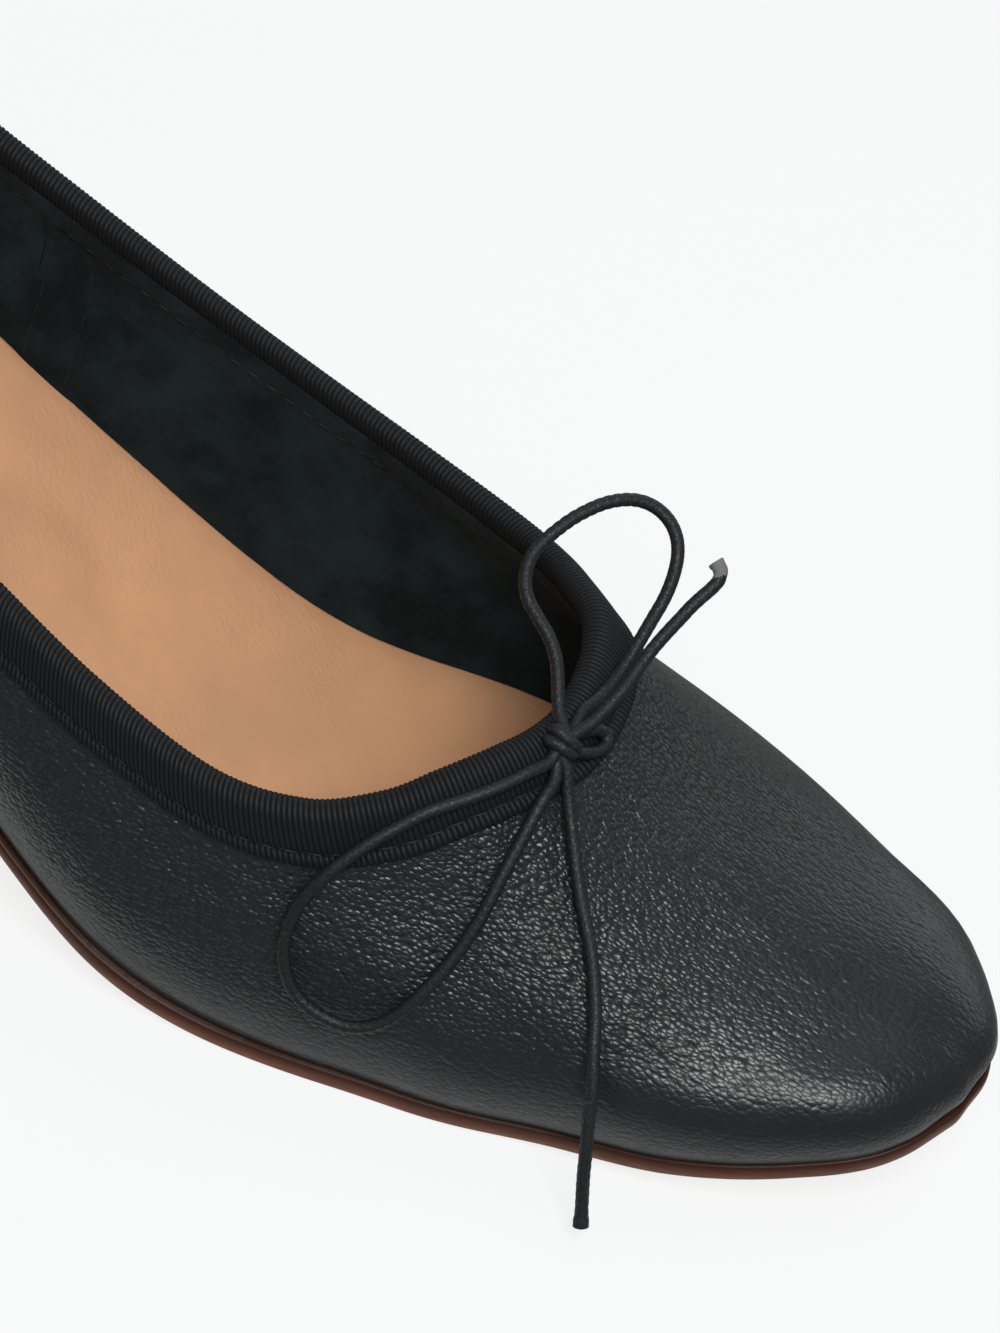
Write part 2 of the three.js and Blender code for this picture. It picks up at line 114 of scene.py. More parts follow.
# Share of the length, how far the sole's edge stands out past the CAD sole's outline on the outer
# and the inner side, and how much further the foot of the upper does
EDGE_SWELL = [
    (0.36, 0, 0, 0, 0), (0.45, 0.0003, 0, 0.0005, 0), (0.58, 0.0001, 0, 0.0006, 0),
    (0.7, 0.0002, 0, 0.001, 0), (0.78, 0.0009, 0, 0.0012, 0), (0.88, 0.001, 0, 0.0012, 0),
    (0.955, 0.0009, 0, 0.0012, 0.0001), (0.975, 0.001, -0.0004, 0.001, 0.0003),
    (0.992, 0.0003, -0.0009, 0.0008, 0.0008), (1, -0.0008, -0.0009, 0.0008, 0.0008),
]

# Share of the opening's length, its outer and inner half width as shares of its width, and how
# far its height has gone from the side's to the back's and to the throat's
TOPLINE = [
    (0.03, 0.2, 0.195, 0.975, 0), (0.086, 0.282, 0.276, 0.84, 0), (0.19, 0.35, 0.336, 0.47, 0),
    (0.329, 0.4, 0.38, 0.095, 0), (0.471, 0.43, 0.418, 0, 0), (0.601, 0.464, 0.459, 0, 0.171),
    (0.71, 0.499, 0.491, 0, 0.343), (0.81, 0.51, 0.496, 0, 0.445),
    (0.879, 0.466, 0.455, 0, 0.553), (0.924, 0.382, 0.389, 0, 0.697),
    (0.952, 0.292, 0.317, 0, 0.88), (0.978, 0.192, 0.242, 0, 1), (0.994, 0.096, 0.135, 0, 1),
]

# Share of the heel's height from the seat down, then how far its back, its breast and its width
# have gone from the seat's to the tread's
HEEL_SECTIONS = [
    (0, 0, 0, 0), (0.08, 0.07, 0.06, 0.05), (0.2, 0.25, 0.33, 0.27), (0.4, 0.57, 0.72, 0.62),
    (0.6, 0.82, 0.92, 0.85), (0.8, 0.96, 1, 0.97), (1, 1, 1, 1),
]

# Routes of the bow's cord: two loops out of the knot and back, and two ends
CORD_ROUTES = {
    "bow_loop_near": [
        (0.1591, -0.0094, 0.0449), (0.1575, -0.0127, 0.0447), (0.1556, -0.0158, 0.0442),
        (0.1535, -0.0185, 0.0436), (0.1512, -0.0210, 0.0429), (0.1489, -0.0234, 0.0419),
        (0.1470, -0.0257, 0.0405), (0.1449, -0.0282, 0.0388), (0.1430, -0.0306, 0.0367),
        (0.1415, -0.0325, 0.0345), (0.1404, -0.0339, 0.0321), (0.1396, -0.0349, 0.0297),
        (0.1393, -0.0357, 0.0272), (0.1394, -0.0367, 0.0249), (0.1400, -0.0375, 0.0226),
        (0.1412, -0.0382, 0.0203), (0.1428, -0.0385, 0.0183), (0.1449, -0.0385, 0.0169),
        (0.1472, -0.0382, 0.0161), (0.1493, -0.0379, 0.0159), (0.1513, -0.0374, 0.0163),
        (0.1531, -0.0366, 0.0172), (0.1547, -0.0356, 0.0187), (0.1561, -0.0343, 0.0208),
        (0.1573, -0.0326, 0.0232), (0.1584, -0.0304, 0.0259), (0.1593, -0.0279, 0.0289),
        (0.1599, -0.0251, 0.0323), (0.1601, -0.0221, 0.0356), (0.1603, -0.0189, 0.0385),
        (0.1604, -0.0160, 0.0409), (0.1605, -0.0133, 0.0426), (0.1605, -0.0106, 0.0433),
    ],
    "bow_loop_far": [
        (0.1573, -0.0040, 0.0472), (0.1563, -0.0026, 0.0480), (0.1549, -0.0004, 0.0493),
        (0.1535, 0.0014, 0.0504), (0.1516, 0.0029, 0.0515), (0.1494, 0.0040, 0.0525),
        (0.1474, 0.0051, 0.0534), (0.1460, 0.0066, 0.0544), (0.1453, 0.0084, 0.0554),
        (0.1452, 0.0102, 0.0562), (0.1457, 0.0120, 0.0570), (0.1464, 0.0138, 0.0577),
        (0.1473, 0.0157, 0.0584), (0.1484, 0.0176, 0.0589), (0.1496, 0.0194, 0.0592),
        (0.1510, 0.0210, 0.0593), (0.1526, 0.0225, 0.0590), (0.1542, 0.0234, 0.0585),
        (0.1560, 0.0238, 0.0577), (0.1577, 0.0235, 0.0568), (0.1591, 0.0226, 0.0558),
        (0.1601, 0.0212, 0.0547), (0.1607, 0.0195, 0.0535), (0.1610, 0.0178, 0.0524),
        (0.1611, 0.0160, 0.0514), (0.1610, 0.0142, 0.0504), (0.1609, 0.0114, 0.0491),
        (0.1608, 0.0085, 0.0477), (0.1606, 0.0059, 0.0467), (0.1603, 0.0034, 0.0462),
        (0.1599, 0.0009, 0.0463), (0.1594, -0.0013, 0.0465),
    ],
    "bow_end_near": [
        (0.1609, -0.0083, 0.0439), (0.1622, -0.0097, 0.0416), (0.1637, -0.0113, 0.0395),
        (0.1662, -0.0141, 0.0367), (0.1689, -0.0171, 0.0339), (0.1711, -0.0192, 0.0319),
        (0.1732, -0.0213, 0.0300), (0.1752, -0.0237, 0.0279), (0.1773, -0.0268, 0.0256),
        (0.1791, -0.0300, 0.0229), (0.1807, -0.0324, 0.0199), (0.1818, -0.0345, 0.0165),
        (0.1829, -0.0362, 0.0132), (0.1838, -0.0376, 0.0100), (0.1848, -0.0389, 0.0069),
        (0.1858, -0.0402, 0.0039),
    ],
    "bow_end_far": [
        (0.1611, -0.0029, 0.0468), (0.1616, -0.0012, 0.0473), (0.1621, 0.0006, 0.0480),
        (0.1626, 0.0028, 0.0489), (0.1629, 0.0053, 0.0499), (0.1632, 0.0077, 0.0509),
        (0.1636, 0.0096, 0.0518), (0.1641, 0.0114, 0.0527), (0.1646, 0.0131, 0.0535),
        (0.1651, 0.0147, 0.0544), (0.1657, 0.0162, 0.0552), (0.1663, 0.0176, 0.0559),
        (0.1666, 0.0188, 0.0566), (0.1662, 0.0197, 0.0573), (0.1653, 0.0201, 0.0578),
    ],
}

# Line of the soft dent in the insole, and how wide the dent is
INSOLE_DENT = [
    (0.0995, 0.0040, 0), (0.1023, 0.0057, 0), (0.1072, 0.0078, 0), (0.1119, 0.0077, 0),
    (0.1156, 0.0060, 0), (0.1174, 0.0022, 0),
]
DENT_WIDTH = 0.0036

# Knot: its middle, the way it faces and the way it lies, its size, how far each of its two wraps
# is shifted along it and tilted, and the route of the short ear beside it
KNOT_PLACE = (0.1593, -0.0068, 0.0459)
KNOT_FACING = (0.45, -0.45, 0.77)
KNOT_ALONG = (0, -0.84, -0.49)
KNOT_WIDTH = 0.0034
KNOT_HEIGHT = 0.0028
KNOT_WRAPS = ((-0.0006, 0.2), (0.0007, 0.05))
KNOT_EAR = [
    (0.1596, -0.0066, 0.0455), (0.1602, -0.0063, 0.0448), (0.1609, -0.0057, 0.0441),
    (0.1617, -0.0047, 0.0434), (0.1624, -0.0037, 0.0429), (0.1630, -0.0025, 0.0426),
    (0.1632, -0.0012, 0.0427), (0.1627, -0.0004, 0.0432), (0.1617, -0.0010, 0.0441),
    (0.1606, -0.0030, 0.0450), (0.1597, -0.0052, 0.0456),
]

# Cord: strands of each of its two families, how high they stand as shares of its radius, over
# what length its cut end spreads, and how far from that end its pale core shows
STRANDS = 4
STRAND_BASE = 0.955
STRAND_LIFT = 0.05
FLARE_LENGTH = 0.0025
FLARE = 0.22
FRAYED_REACH = {"bow_end_near": 0.00084, "bow_end_far": 0.0021}

# Upper's relief: how far the puckers reach from the throat's middle and fade below the binding,
# the length of the slow waves, how far up the foot's swelling and its roll reach, and the heights
# over which the grain comes back above the sole, at the side and at the toe
PUCKER_REACH = (0.05, 0.012)
PUCKER_FADE = 0.006
WAVE_PITCH = 0.026
FOOT_REACH = (0.02, 0.005)
ROLL_REACH = 0.0035
SIDE_LASTED = (0.004, 0.014)
TOE_LASTED = (0.009, 0.017)

# Lining: where it comes down off the ribbon's inner band, and the depth and width of its seam
BAND_STEP = (0.0092, 0.0055)
SEAM_DEPTH = 0.00022
SEAM_WIDTH = 0.0005

# Tape over the lining's seam: its top below the topline, its gap above the insole, how far it
# stands up, and the place, pitch and length of its stitches
TAPE_TOP = 0.0075
TAPE_FOOT = 0.0018
TAPE_LIFT = 0.00022
TAPE_STITCH_PLACE = 0.72
TAPE_STITCH_PITCH = 0.003
TAPE_STITCH_LENGTH = 0.0021

# Floor's pool of light: its middle and its size as a mapping of the floor's coordinates
POOL_SHIFT = (-0.74, 0, 0)
POOL_SCALE = (7.4, 20, 1)

# Camera of the photograph
CAMERA_TARGET = (0.147165, 0.000541, 0.045043)
CAMERA_DISTANCE = 0.863673
CAMERA_AZIMUTH = 73.814
CAMERA_ELEVATION = 48.772
CAMERA_ROLL = 13.507
CAMERA_LENS = 189.05
CAMERA_SENSOR = 36

# Fineness of the meshes
COLUMNS = 560
TOPLINE_STEPS = 8 * COLUMNS
OUTLINE_STEPS = 4000
SAMPLES_PER_RIB = 4
CORD_SIDES = 20
CORD_STEP = 0.0002

TREAD_CENTRE = TREAD_SETBACK + TREAD_LENGTH / 2
OPENING_LENGTH = LENGTH - VAMP_LENGTH - TOPLINE_SETBACK
BINDING_RADIUS = WALL / 2 + CLEARANCE + BINDING_THICKNESS
UP = np.array([0.0, 0.0, 1.0])


def smoothstep(value, low, high):
    share = np.clip((value - low) / (high - low), 0, 1)
    return share * share * (3 - 2 * share)


def mix(start, end, share):
    return start + (end - start) * share


def unit(vectors):
    return vectors / np.linalg.norm(vectors, axis=-1, keepdims=True)


def sole_top(x):
    share = np.clip(x / LENGTH, 0, 1)
    seat = SEAT_LENGTH / LENGTH
    fall = HEEL_RISE * (1 - smoothstep(share, seat, BALL_TREAD[0]))
    pitch = SEAT_PITCH * np.maximum(0, 1 - share / seat)
    toe = np.maximum(0, (share - BALL_TREAD[1]) / (1 - BALL_TREAD[1]))
    return SOLE_THICKNESS + fall + pitch + TOE_SPRING * toe**SPRING_CURVE


def sole_thickness(x):
    return mix(WAIST_THICKNESS, SOLE_THICKNESS, smoothstep(x / LENGTH, *WAIST))


def lengths_along(path):
    """Length from a path's start to each of its points."""
    steps = np.linalg.norm(np.diff(path, axis=0), axis=1)
    return np.concatenate([[0], steps.cumsum()])


class ClosedLine:
    """Closed curve from the heel's back along the outer side to the front and back inside."""

    def __init__(self, back, outer_side, front, inner_side):
        self.points = np.array([back, *outer_side, front, *inner_side[::-1]], dtype=float)

    def at(self, around, slope=False):
        count = len(self.points)
        place = (np.asarray(around) % 1) * count
        start = np.floor(place).astype(int)
        share = (place - start)[..., None]
        before, here, ahead, beyond = (
            self.points[(start + step) % count] for step in (-1, 0, 1, 2)
        )
        leave = (ahead - before) / 2
        arrive = (beyond - here) / 2
        cubic = 2 * here - 2 * ahead + leave + arrive
        square = 3 * (ahead - here) - 2 * leave - arrive
        if slope:
            return (3 * cubic * share + 2 * square) * share + leave
        return ((cubic * share + square) * share + leave) * share + here


def topline_point(row, side, share):
    along, _, _, to_back, to_throat = row
    x = TOPLINE_SETBACK + along * OPENING_LENGTH
    backward = to_back * (BACK_HEIGHT - SIDE_HEIGHT)
    forward = to_throat * (THROAT_HEIGHT - SIDE_HEIGHT)
    return (x, side * share * OPENING_WIDTH, sole_top(x) + SIDE_HEIGHT + backward + forward)


SOLE_LINE = ClosedLine(
    (0, 0, 0),
    [(along * LENGTH, -outer * BALL_WIDTH, 0) for along, outer, _ in SOLE_OUTLINE],
    (LENGTH, 0, 0),
    [(along * LENGTH, inner * BALL_WIDTH, 0) for along, _, inner in SOLE_OUTLINE],
)
THROAT_X = LENGTH - VAMP_LENGTH
TOP_LINE = ClosedLine(
    (TOPLINE_SETBACK, 0, sole_top(0) + BACK_HEIGHT),
    [topline_point(row, -1, row[1]) for row in TOPLINE],
    (THROAT_X, 0, sole_top(THROAT_X) + THROAT_HEIGHT),
    [topline_point(row, 1, row[2]) for row in TOPLINE],
)


def outward(around):
    along = SOLE_LINE.at(around, slope=True)
    return unit(np.stack([along[..., 1], -along[..., 0], 0 * along[..., 0]], axis=-1))


def on_sole(around, inset, height):
    point = SOLE_LINE.at(around) - outward(around) * inset
    point[..., 2] = sole_top(point[..., 0]) + height
    return point


def edge_swell(around):
    """How far the sole's edge and the foot of the upper stand out past the CAD outline."""
    place = SOLE_LINE.at(around)
    along, *amounts = zip(*EDGE_SWELL)
    rows = range(len(along))
    row = np.interp(place[:, 0] / LENGTH, along, rows)
    row = np.floor(row) + smoothstep(row - np.floor(row), 0, 1)
    amounts = [np.interp(row, rows, amount) for amount in amounts]
    outer_side = smoothstep(-place[:, 1], -0.008, 0.008)
    edge = mix(amounts[1], amounts[0], outer_side)
    return edge, edge + mix(amounts[3], amounts[2], outer_side)


def profile_controls(around):
    """Control points of the upper's outer face, from the feather line up to the topline."""
    sole = SOLE_LINE.at(around)
    side = outward(around)
    feather = on_sole(around, FEATHER_INSET, CLEARANCE)
    top = TOP_LINE.at(around)
    to_toe = smoothstep(sole[:, :1] / LENGTH, *VAMP_BLEND)
    lower = feather + side * mix(SIDE_BULGE, TOE_BULGE, to_toe)
    lower = lower + UP * mix(SIDE_STAND, TOE_STAND, to_toe)
    across = (sole - top) * (1 - UP)
    reach = np.linalg.norm(across, axis=1, keepdims=True)
    slant = smoothstep(reach / (top - feather)[:, 2:], *VAMP_SLANT)
    handle = mix(SIDE_REACH, VAMP_REACH, slant)
    steepness = mix(math.atan2(1, SIDE_LEAN), math.atan2(VAMP_DROP, VAMP_REACH), slant)
    away = unit(across + side * SIDE_REACH / 3)
    upper = top + away * handle * np.cos(steepness) - UP * handle * np.sin(steepness)
    shoulder = (lower + upper) / 2 + side * TOE_FULLNESS * to_toe - UP * TOE_DIP * to_toe
    controls = [feather, mix(feather, lower, 0.75), shoulder, mix(top, upper, 0.75), top]
    return np.stack(controls, axis=1)


def bezier(controls, share):
    row = [controls[:, index, None, :] for index in range(controls.shape[1])]
    while len(row) > 1:
        row = [mix(start, end, share[..., None]) for start, end in zip(row, row[1:])]
    return row[0]


class Profiles:
    """Profile curves read by their share of arc length."""

    steps = 200

    def __init__(self, around):
        self.controls = profile_controls(around)
        self.even = np.linspace(0, 1, self.steps + 1)
        points = bezier(self.controls, np.tile(self.even, (len(around), 1)))
        lengths = np.linalg.norm(np.diff(points, axis=1), axis=2).cumsum(axis=1)
        self.length = lengths[:, -1:]
        self.shares = np.hstack([np.zeros((len(around), 1)), lengths / self.length])

    def turn(self, share):
        rows = zip(share, self.shares)
        return np.stack([np.interp(row, known, self.even) for row, known in rows])

    def at(self, share):
        return bezier(self.controls, self.turn(share))

    def slope(self, share):
        return bezier(np.diff(self.controls, axis=1), self.turn(share))


class Wall:
    """The upper's wall at a list of places around the shoe."""

    beside = 0.0005

    def __init__(self, around):
        self.around = np.asarray(around, dtype=float)
        self.before, self.here, self.after = (
            Profiles(self.around + step) for step in (-self.beside, 0, self.beside)
        )
        self.length = self.here.length

    def point(self, down, depth):
        """Points down from the topline along the profiles, and depth in from the outer face."""
        down = np.broadcast_to(down, np.broadcast_shapes(np.shape(down), self.length.shape))
        share = np.clip(1 - down / self.length, 0, 1)
        along = self.after.at(share) - self.before.at(share)
        normal = unit(np.cross(along, self.here.slope(share)))
        return self.here.at(share) - normal * np.broadcast_to(depth, share.shape)[..., None]


def placed(points):
    """Shoe coordinates, which start at the heel's back, in the frame's own."""
    return points - np.array([TREAD_CENTRE, 0, 0])


def topline_lengths():
    """Places around the shoe in fine steps, and the topline's length up to each."""
    fine = np.linspace(0, 1, TOPLINE_STEPS + 1)
    return fine, lengths_along(TOP_LINE.at(fine))


def topline_places(count):
    """Places around the shoe at even steps of the topline's length."""
    fine, length = topline_lengths()
    return np.interp(np.linspace(0, length[-1], count + 1), length, fine)


def from_throat(around):
    """Length along the topline from the middle of the throat, outer side negative."""
    fine, length = topline_lengths()
    return np.interp(around, fine, length) - np.interp(0.5, fine, length)


def outline_place(x):
    """Place around the shoe where the sole's outline reaches x on the outer side."""
    fine = np.linspace(0, 0.5, OUTLINE_STEPS + 1)
    return float(np.interp(x, SOLE_LINE.at(fine)[:, 0], fine))


def ripple(first, second, pitch):
    """Uneven soft waves between -1 and 1, as long as pitch."""
    turn = 2 * math.pi / pitch
    waves = np.sin(turn * first + 1.3 * np.sin(0.61 * turn * second))
    waves = waves + 0.7 * np.sin(0.63 * turn * first - 0.8 * turn * second + 2.1)
    waves = waves + 0.5 * np.sin(1.37 * turn * first + 0.45 * turn * second + 0.7)
    return waves / 2.2


def mapped(points):
    """Mesh grid moved onto an array of points, rows by columns, with its UVs from 0 to 1."""
    rows, columns = points.shape[:2]
    bm = bmesh.new()
    bm.loops.layers.uv.new("UVMap")
    bmesh.ops.create_grid(
        bm, x_segments=columns - 1, y_segments=rows - 1, size=1, calc_uvs=True
    )
    for vert, point in zip(bm.verts, points.reshape(-1, 3).tolist()):
        vert.co = point
    return bm


def marked(bm, columns, first_row, last_row, material):
    """Gives the faces between two rows of a mapped grid a material of their own."""
    bm.faces.ensure_lookup_table()
    for face in bm.faces[first_row * columns : last_row * columns]:
        face.material_index = material


def closed(bm):
    bmesh.ops.remove_doubles(bm, verts=bm.verts, dist=1e-6)
    bmesh.ops.dissolve_degenerate(bm, edges=bm.edges, dist=1e-7)
    bmesh.ops.recalc_face_normals(bm, faces=bm.faces)
    return bm


def finished(name, bm, materials, replaces=(), sharp=None):
    """Links the mesh as a piece that rides with the shoe."""
    mesh = bpy.data.meshes.new(name)
    bm.to_mesh(mesh)
    bm.free()
    for material in materials:
        mesh.materials.append(material)
    mesh.polygons.foreach_set("use_smooth", [True] * len(mesh.polygons))
    if sharp:
        mesh.set_sharp_from_angle(angle=math.radians(sharp))
    piece = bpy.data.objects.new(name, mesh)
    bpy.context.scene.collection.objects.link(piece)
    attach(piece, "root")
    if replaces:
        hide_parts(*replaces)
    return piece


class Nodes:
    """Short way to build a material's node tree."""

    def __init__(self, name):
        self.material = bpy.data.materials.new(name)
        self.material.use_nodes = True
        self.tree = self.material.node_tree
        self.shader = self.tree.nodes["Principled BSDF"]
        self.place = self.add("ShaderNodeTexCoord").outputs["Object"]

    def add(self, kind, **values):
        node = self.tree.nodes.new(kind)
        for name, value in values.items():
            if hasattr(node, name):
                setattr(node, name, value)
            else:
                self.feed(node.inputs[name.replace("_", " ").title()], value)
        return node

    def feed(self, socket, value):
        if isinstance(value, bpy.types.NodeSocket):
            self.tree.links.new(value, socket)
        else:
            socket.default_value = value

    def stretched(self, scale, place=None, turn=0.0):
        """Coordinates turned about the vertical, then scaled, which draws a pattern out."""
        turned = self.add("ShaderNodeMapping")
        self.feed(turned.inputs["Vector"], place or self.place)
        self.feed(turned.inputs["Rotation"], (0, 0, turn))
        scaled = self.add("ShaderNodeMapping")
        self.feed(scaled.inputs["Vector"], turned.outputs["Vector"])
        self.feed(scaled.inputs["Scale"], scale)
        return scaled.outputs["Vector"]

    def noise(self, size, detail=2.0, place=None, rough=0.5):
        node = self.add("ShaderNodeTexNoise", detail=detail, scale=1 / size, roughness=rough)
        self.feed(node.inputs["Vector"], place or self.place)
        return node.outputs["Fac"]

    def cells(self, size, place=None, feature="DISTANCE_TO_EDGE"):
        node = self.add("ShaderNodeTexVoronoi", feature=feature)
        self.feed(node.inputs["Vector"], place or self.place)
        self.feed(node.inputs["Scale"], 1 / size)
        return node.outputs["Distance"]

    def math(self, operation, first, second=0.0):
        node = self.add("ShaderNodeMath", operation=operation)
        self.feed(node.inputs[0], first)
        self.feed(node.inputs[1], second)
        return node.outputs[0]

    def ramp(self, value, low, high, start=0.0, end=1.0):
        node = self.add("ShaderNodeMapRange", interpolation_type="SMOOTHSTEP")
        for socket, item in zip(node.inputs, (value, low, high, start, end)):
            self.feed(socket, item)
        return node.outputs["Result"]

    def blend(self, share, first, second):
        node = self.add("ShaderNodeMix", data_type="RGBA")
        self.feed(node.inputs[0], share)
        self.feed(node.inputs[6], first)
        self.feed(node.inputs[7], second)
        return node.outputs[2]

    def tones(self, share, color, dark, light):
        """One colour, from a darker to a lighter shade of it."""
        return self.blend(share, shade(color, dark), shade(color, light))

    def shifted(self, amount, size):
        """Coordinates bent by noise, so that a pattern on them doesn't look ruled."""
        node = self.add("ShaderNodeTexNoise", scale=1 / size)
        self.feed(node.inputs["Vector"], self.place)
        bend = self.add("ShaderNodeVectorMath", operation="MULTIPLY_ADD")
        self.feed(bend.inputs[0], node.outputs["Color"])
        self.feed(bend.inputs[1], (amount, amount, amount))
        self.feed(bend.inputs[2], self.place)
        return bend.outputs["Vector"]

    def bump(self, height, distance, under=None):
        node = self.add("ShaderNodeBump")
        self.feed(node.inputs["Height"], height)
        self.feed(node.inputs["Distance"], distance)
        if under:
            self.feed(node.inputs["Normal"], under)
        return node.outputs["Normal"]

    def attribute(self, name):
        return self.add("ShaderNodeAttribute", attribute_name=name).outputs["Fac"]

    def finish(self, **sockets):
        for name, value in sockets.items():
            self.feed(self.shader.inputs[name.replace("_", " ")], value)
        return self.material


def shade(color, factor):
    return (*(channel * factor for channel in color[:3]), 1)


def upper_leather(colors):
    """Grained black calf: small domed pebbles drawn out along the shoe, smooth by the sole, with
    painted shade darkening the creases between the pebbles.
    """
    nodes = Nodes("upper_leather")
    drawn = nodes.stretched((0.6, 1, 1), nodes.shifted(0.0011, 0.0035))
    from_middle = nodes.cells(0.00058, drawn, "F1")
    dome = nodes.math("SUBTRACT", 1.0, nodes.math("MULTIPLY", from_middle, from_middle))
    crease_shade_mask = nodes.ramp(nodes.cells(0.00058, drawn), 0.0, 0.13, 1.0, 0.0)
    fine = nodes.cells(0.00033, drawn, "F1")
    folds = nodes.noise(0.0021, 3, nodes.stretched((0.35, 1, 1), drawn))
    grain = nodes.attribute("grain")
    height = nodes.math("ADD", dome, nodes.math("MULTIPLY", fine, -0.12))
    height = nodes.math("ADD", height, nodes.math("MULTIPLY", folds, 0.9))
    height = nodes.math("MULTIPLY", height, grain)
    normal = nodes.bump(height, 0.00023)
    crease_shade_mask = nodes.math("MULTIPLY", crease_shade_mask, grain)
    patches = nodes.noise(0.014, 3)
    tone = nodes.tones(patches, colors.leather, 0.85, 1.3)
    # painted shade: the creases between the pebbles are darkened in colour; the same mask also
    # makes them rougher
    color = nodes.blend(crease_shade_mask, tone, shade(colors.leather, 0.2))
    roughness = nodes.ramp(nodes.noise(0.006, 2), 0.25, 0.8, 0.27, 0.36)
    roughness = nodes.math("ADD", roughness, nodes.math("MULTIPLY", crease_shade_mask, 0.4))
    return nodes.finish(Base_Color=color, Roughness=roughness, Normal=normal,
                        Specular_IOR_Level=0.5)


def heel_leather(colors):
    nodes = Nodes("heel_leather")
    pebbles = nodes.ramp(nodes.cells(0.0009, nodes.shifted(0.0009, 0.0018)), 0.0, 0.32)
    normal = nodes.bump(pebbles, 0.00003)
    tone = nodes.tones(nodes.noise(0.012, 3), colors.leather, 0.8, 1.25)
    roughness = nodes.ramp(nodes.noise(0.006, 2), 0.25, 0.8, 0.34, 0.46)
    return nodes.finish(Base_Color=tone, Roughness=roughness, Normal=normal,
                        Coat_Weight=0.12, Coat_Roughness=0.22)


def suede(colors):
    """Napped lining: brushed patches that lie lighter and darker, and a short fibre."""
    nodes = Nodes("suede_lining")
    bent = nodes.shifted(0.004, 0.009)
    brushed = nodes.ramp(nodes.noise(0.011, 4, bent, 0.62), 0.36, 0.7)
    fibre = nodes.noise(0.00042, 4, nodes.stretched((0.5, 1, 1), bent), 0.7)
    color = nodes.tones(brushed, colors.lining, 0.4, 1.9)
    color = nodes.blend(nodes.ramp(fibre, 0.45, 0.8, 0, 0.35), color, shade(colors.lining, 2.6))
    normal = nodes.bump(fibre, 0.00022, nodes.bump(brushed, 0.0003))
    return nodes.finish(Base_Color=color, Roughness=0.95, Normal=normal, Specular_IOR_Level=0.2,
                        Sheen_Weight=0.22, Sheen_Roughness=0.5, Sheen_Tint=shade(colors.lining, 20))


def ribbon(colors):
    """Grosgrain: the ribs are modelled and the thread's own lie is drawn, with painted shade
    darkening the gaps between the ribs and the ribbon's inner face.
    """
    nodes = Nodes("ribbon_grosgrain")
    threads = nodes.noise(0.00028, 3, nodes.shifted(0.0002, 0.0006), 0.6)
    color = nodes.tones(nodes.ramp(threads, 0.4, 0.75), colors.ribbon, 0.75, 1.7)
    unshaded_rib_top = nodes.ramp(nodes.attribute("rib"), 0.25, 0.95)
    # painted shade: where the "rib" attribute is low, in the gaps between the ribs and on the
    # ribbon's inner face, the colour darkens to near black
    color = nodes.blend(unshaded_rib_top, shade(colors.ribbon, 0.06), color)
    normal = nodes.bump(threads, 0.00007)
    roughness = nodes.math("SUBTRACT", 0.95, nodes.math("MULTIPLY", unshaded_rib_top, 0.35))
    return nodes.finish(Base_Color=color, Roughness=roughness, Normal=normal,
                        Specular_IOR_Level=0.35)


def thread(colors):
    nodes = Nodes("stitching_thread")
    twist = nodes.noise(0.00022, 2)
    color = nodes.tones(twist, colors.ribbon, 0.45, 1.0)
    return nodes.finish(Base_Color=color, Roughness=0.6, Normal=nodes.bump(twist, 0.00005))


def insole_leather(colors):
    """Tan lining leather: soft mottling, fine creases in patches and small pores."""
    nodes = Nodes("insole_leather")
    bent = nodes.shifted(0.003, 0.006)
    clouds = nodes.ramp(nodes.noise(0.03, 3, bent), 0.3, 0.7)
    mottle = nodes.ramp(nodes.noise(0.0035, 4), 0.3, 0.75)
    color = nodes.tones(clouds, colors.insole, 0.9, 1.06)
    color = nodes.blend(nodes.math("MULTIPLY", mottle, 0.3), color, shade(colors.insole, 0.84))
    creased = nodes.ramp(nodes.noise(0.018, 2), 0.38, 0.6)
    drawn = nodes.stretched((0.55, 1, 1), nodes.shifted(0.0016, 0.003), 0.5)
    creases = nodes.ramp(nodes.cells(0.0011, drawn), 0.0, 0.3)
    pores = nodes.ramp(nodes.cells(0.00085, bent, "F1"), 0.12, 0.3)
    height = nodes.math("MULTIPLY", nodes.math("SUBTRACT", creases, 1.0), creased)
    height = nodes.math("ADD", height, nodes.math("MULTIPLY", pores, 0.22))
    normal = nodes.bump(height, 0.00003)
    roughness = nodes.ramp(mottle, 0.0, 1.0, 0.4, 0.55)
    return nodes.finish(Base_Color=color, Roughness=roughness, Normal=normal,
                        Specular_IOR_Level=0.4)


def sole_edge(colors):
    """Burnished sole edge: darker along the top as painted shade under the upper, with a drawn-out
    leather grain.
    """
    nodes = Nodes("sole_edge")
    layers = nodes.noise(0.0011, 4, nodes.stretched((0.16, 0.16, 1)))
    color = nodes.tones(nodes.ramp(layers, 0.3, 0.75), colors.sole_edge, 0.75, 1.25)
    # painted shade: the edge darkens towards its top, where the upper overhangs it
    color = nodes.blend(nodes.ramp(nodes.attribute("rise"), 0.3, 0.95), color,
                        shade(colors.sole_edge, 0.28))
    normal = nodes.bump(nodes.noise(0.0006, 4, nodes.stretched((0.4, 0.4, 1))), 0.00007)
    return nodes.finish(Base_Color=color, Roughness=0.42, Normal=normal, Specular_IOR_Level=0.22)


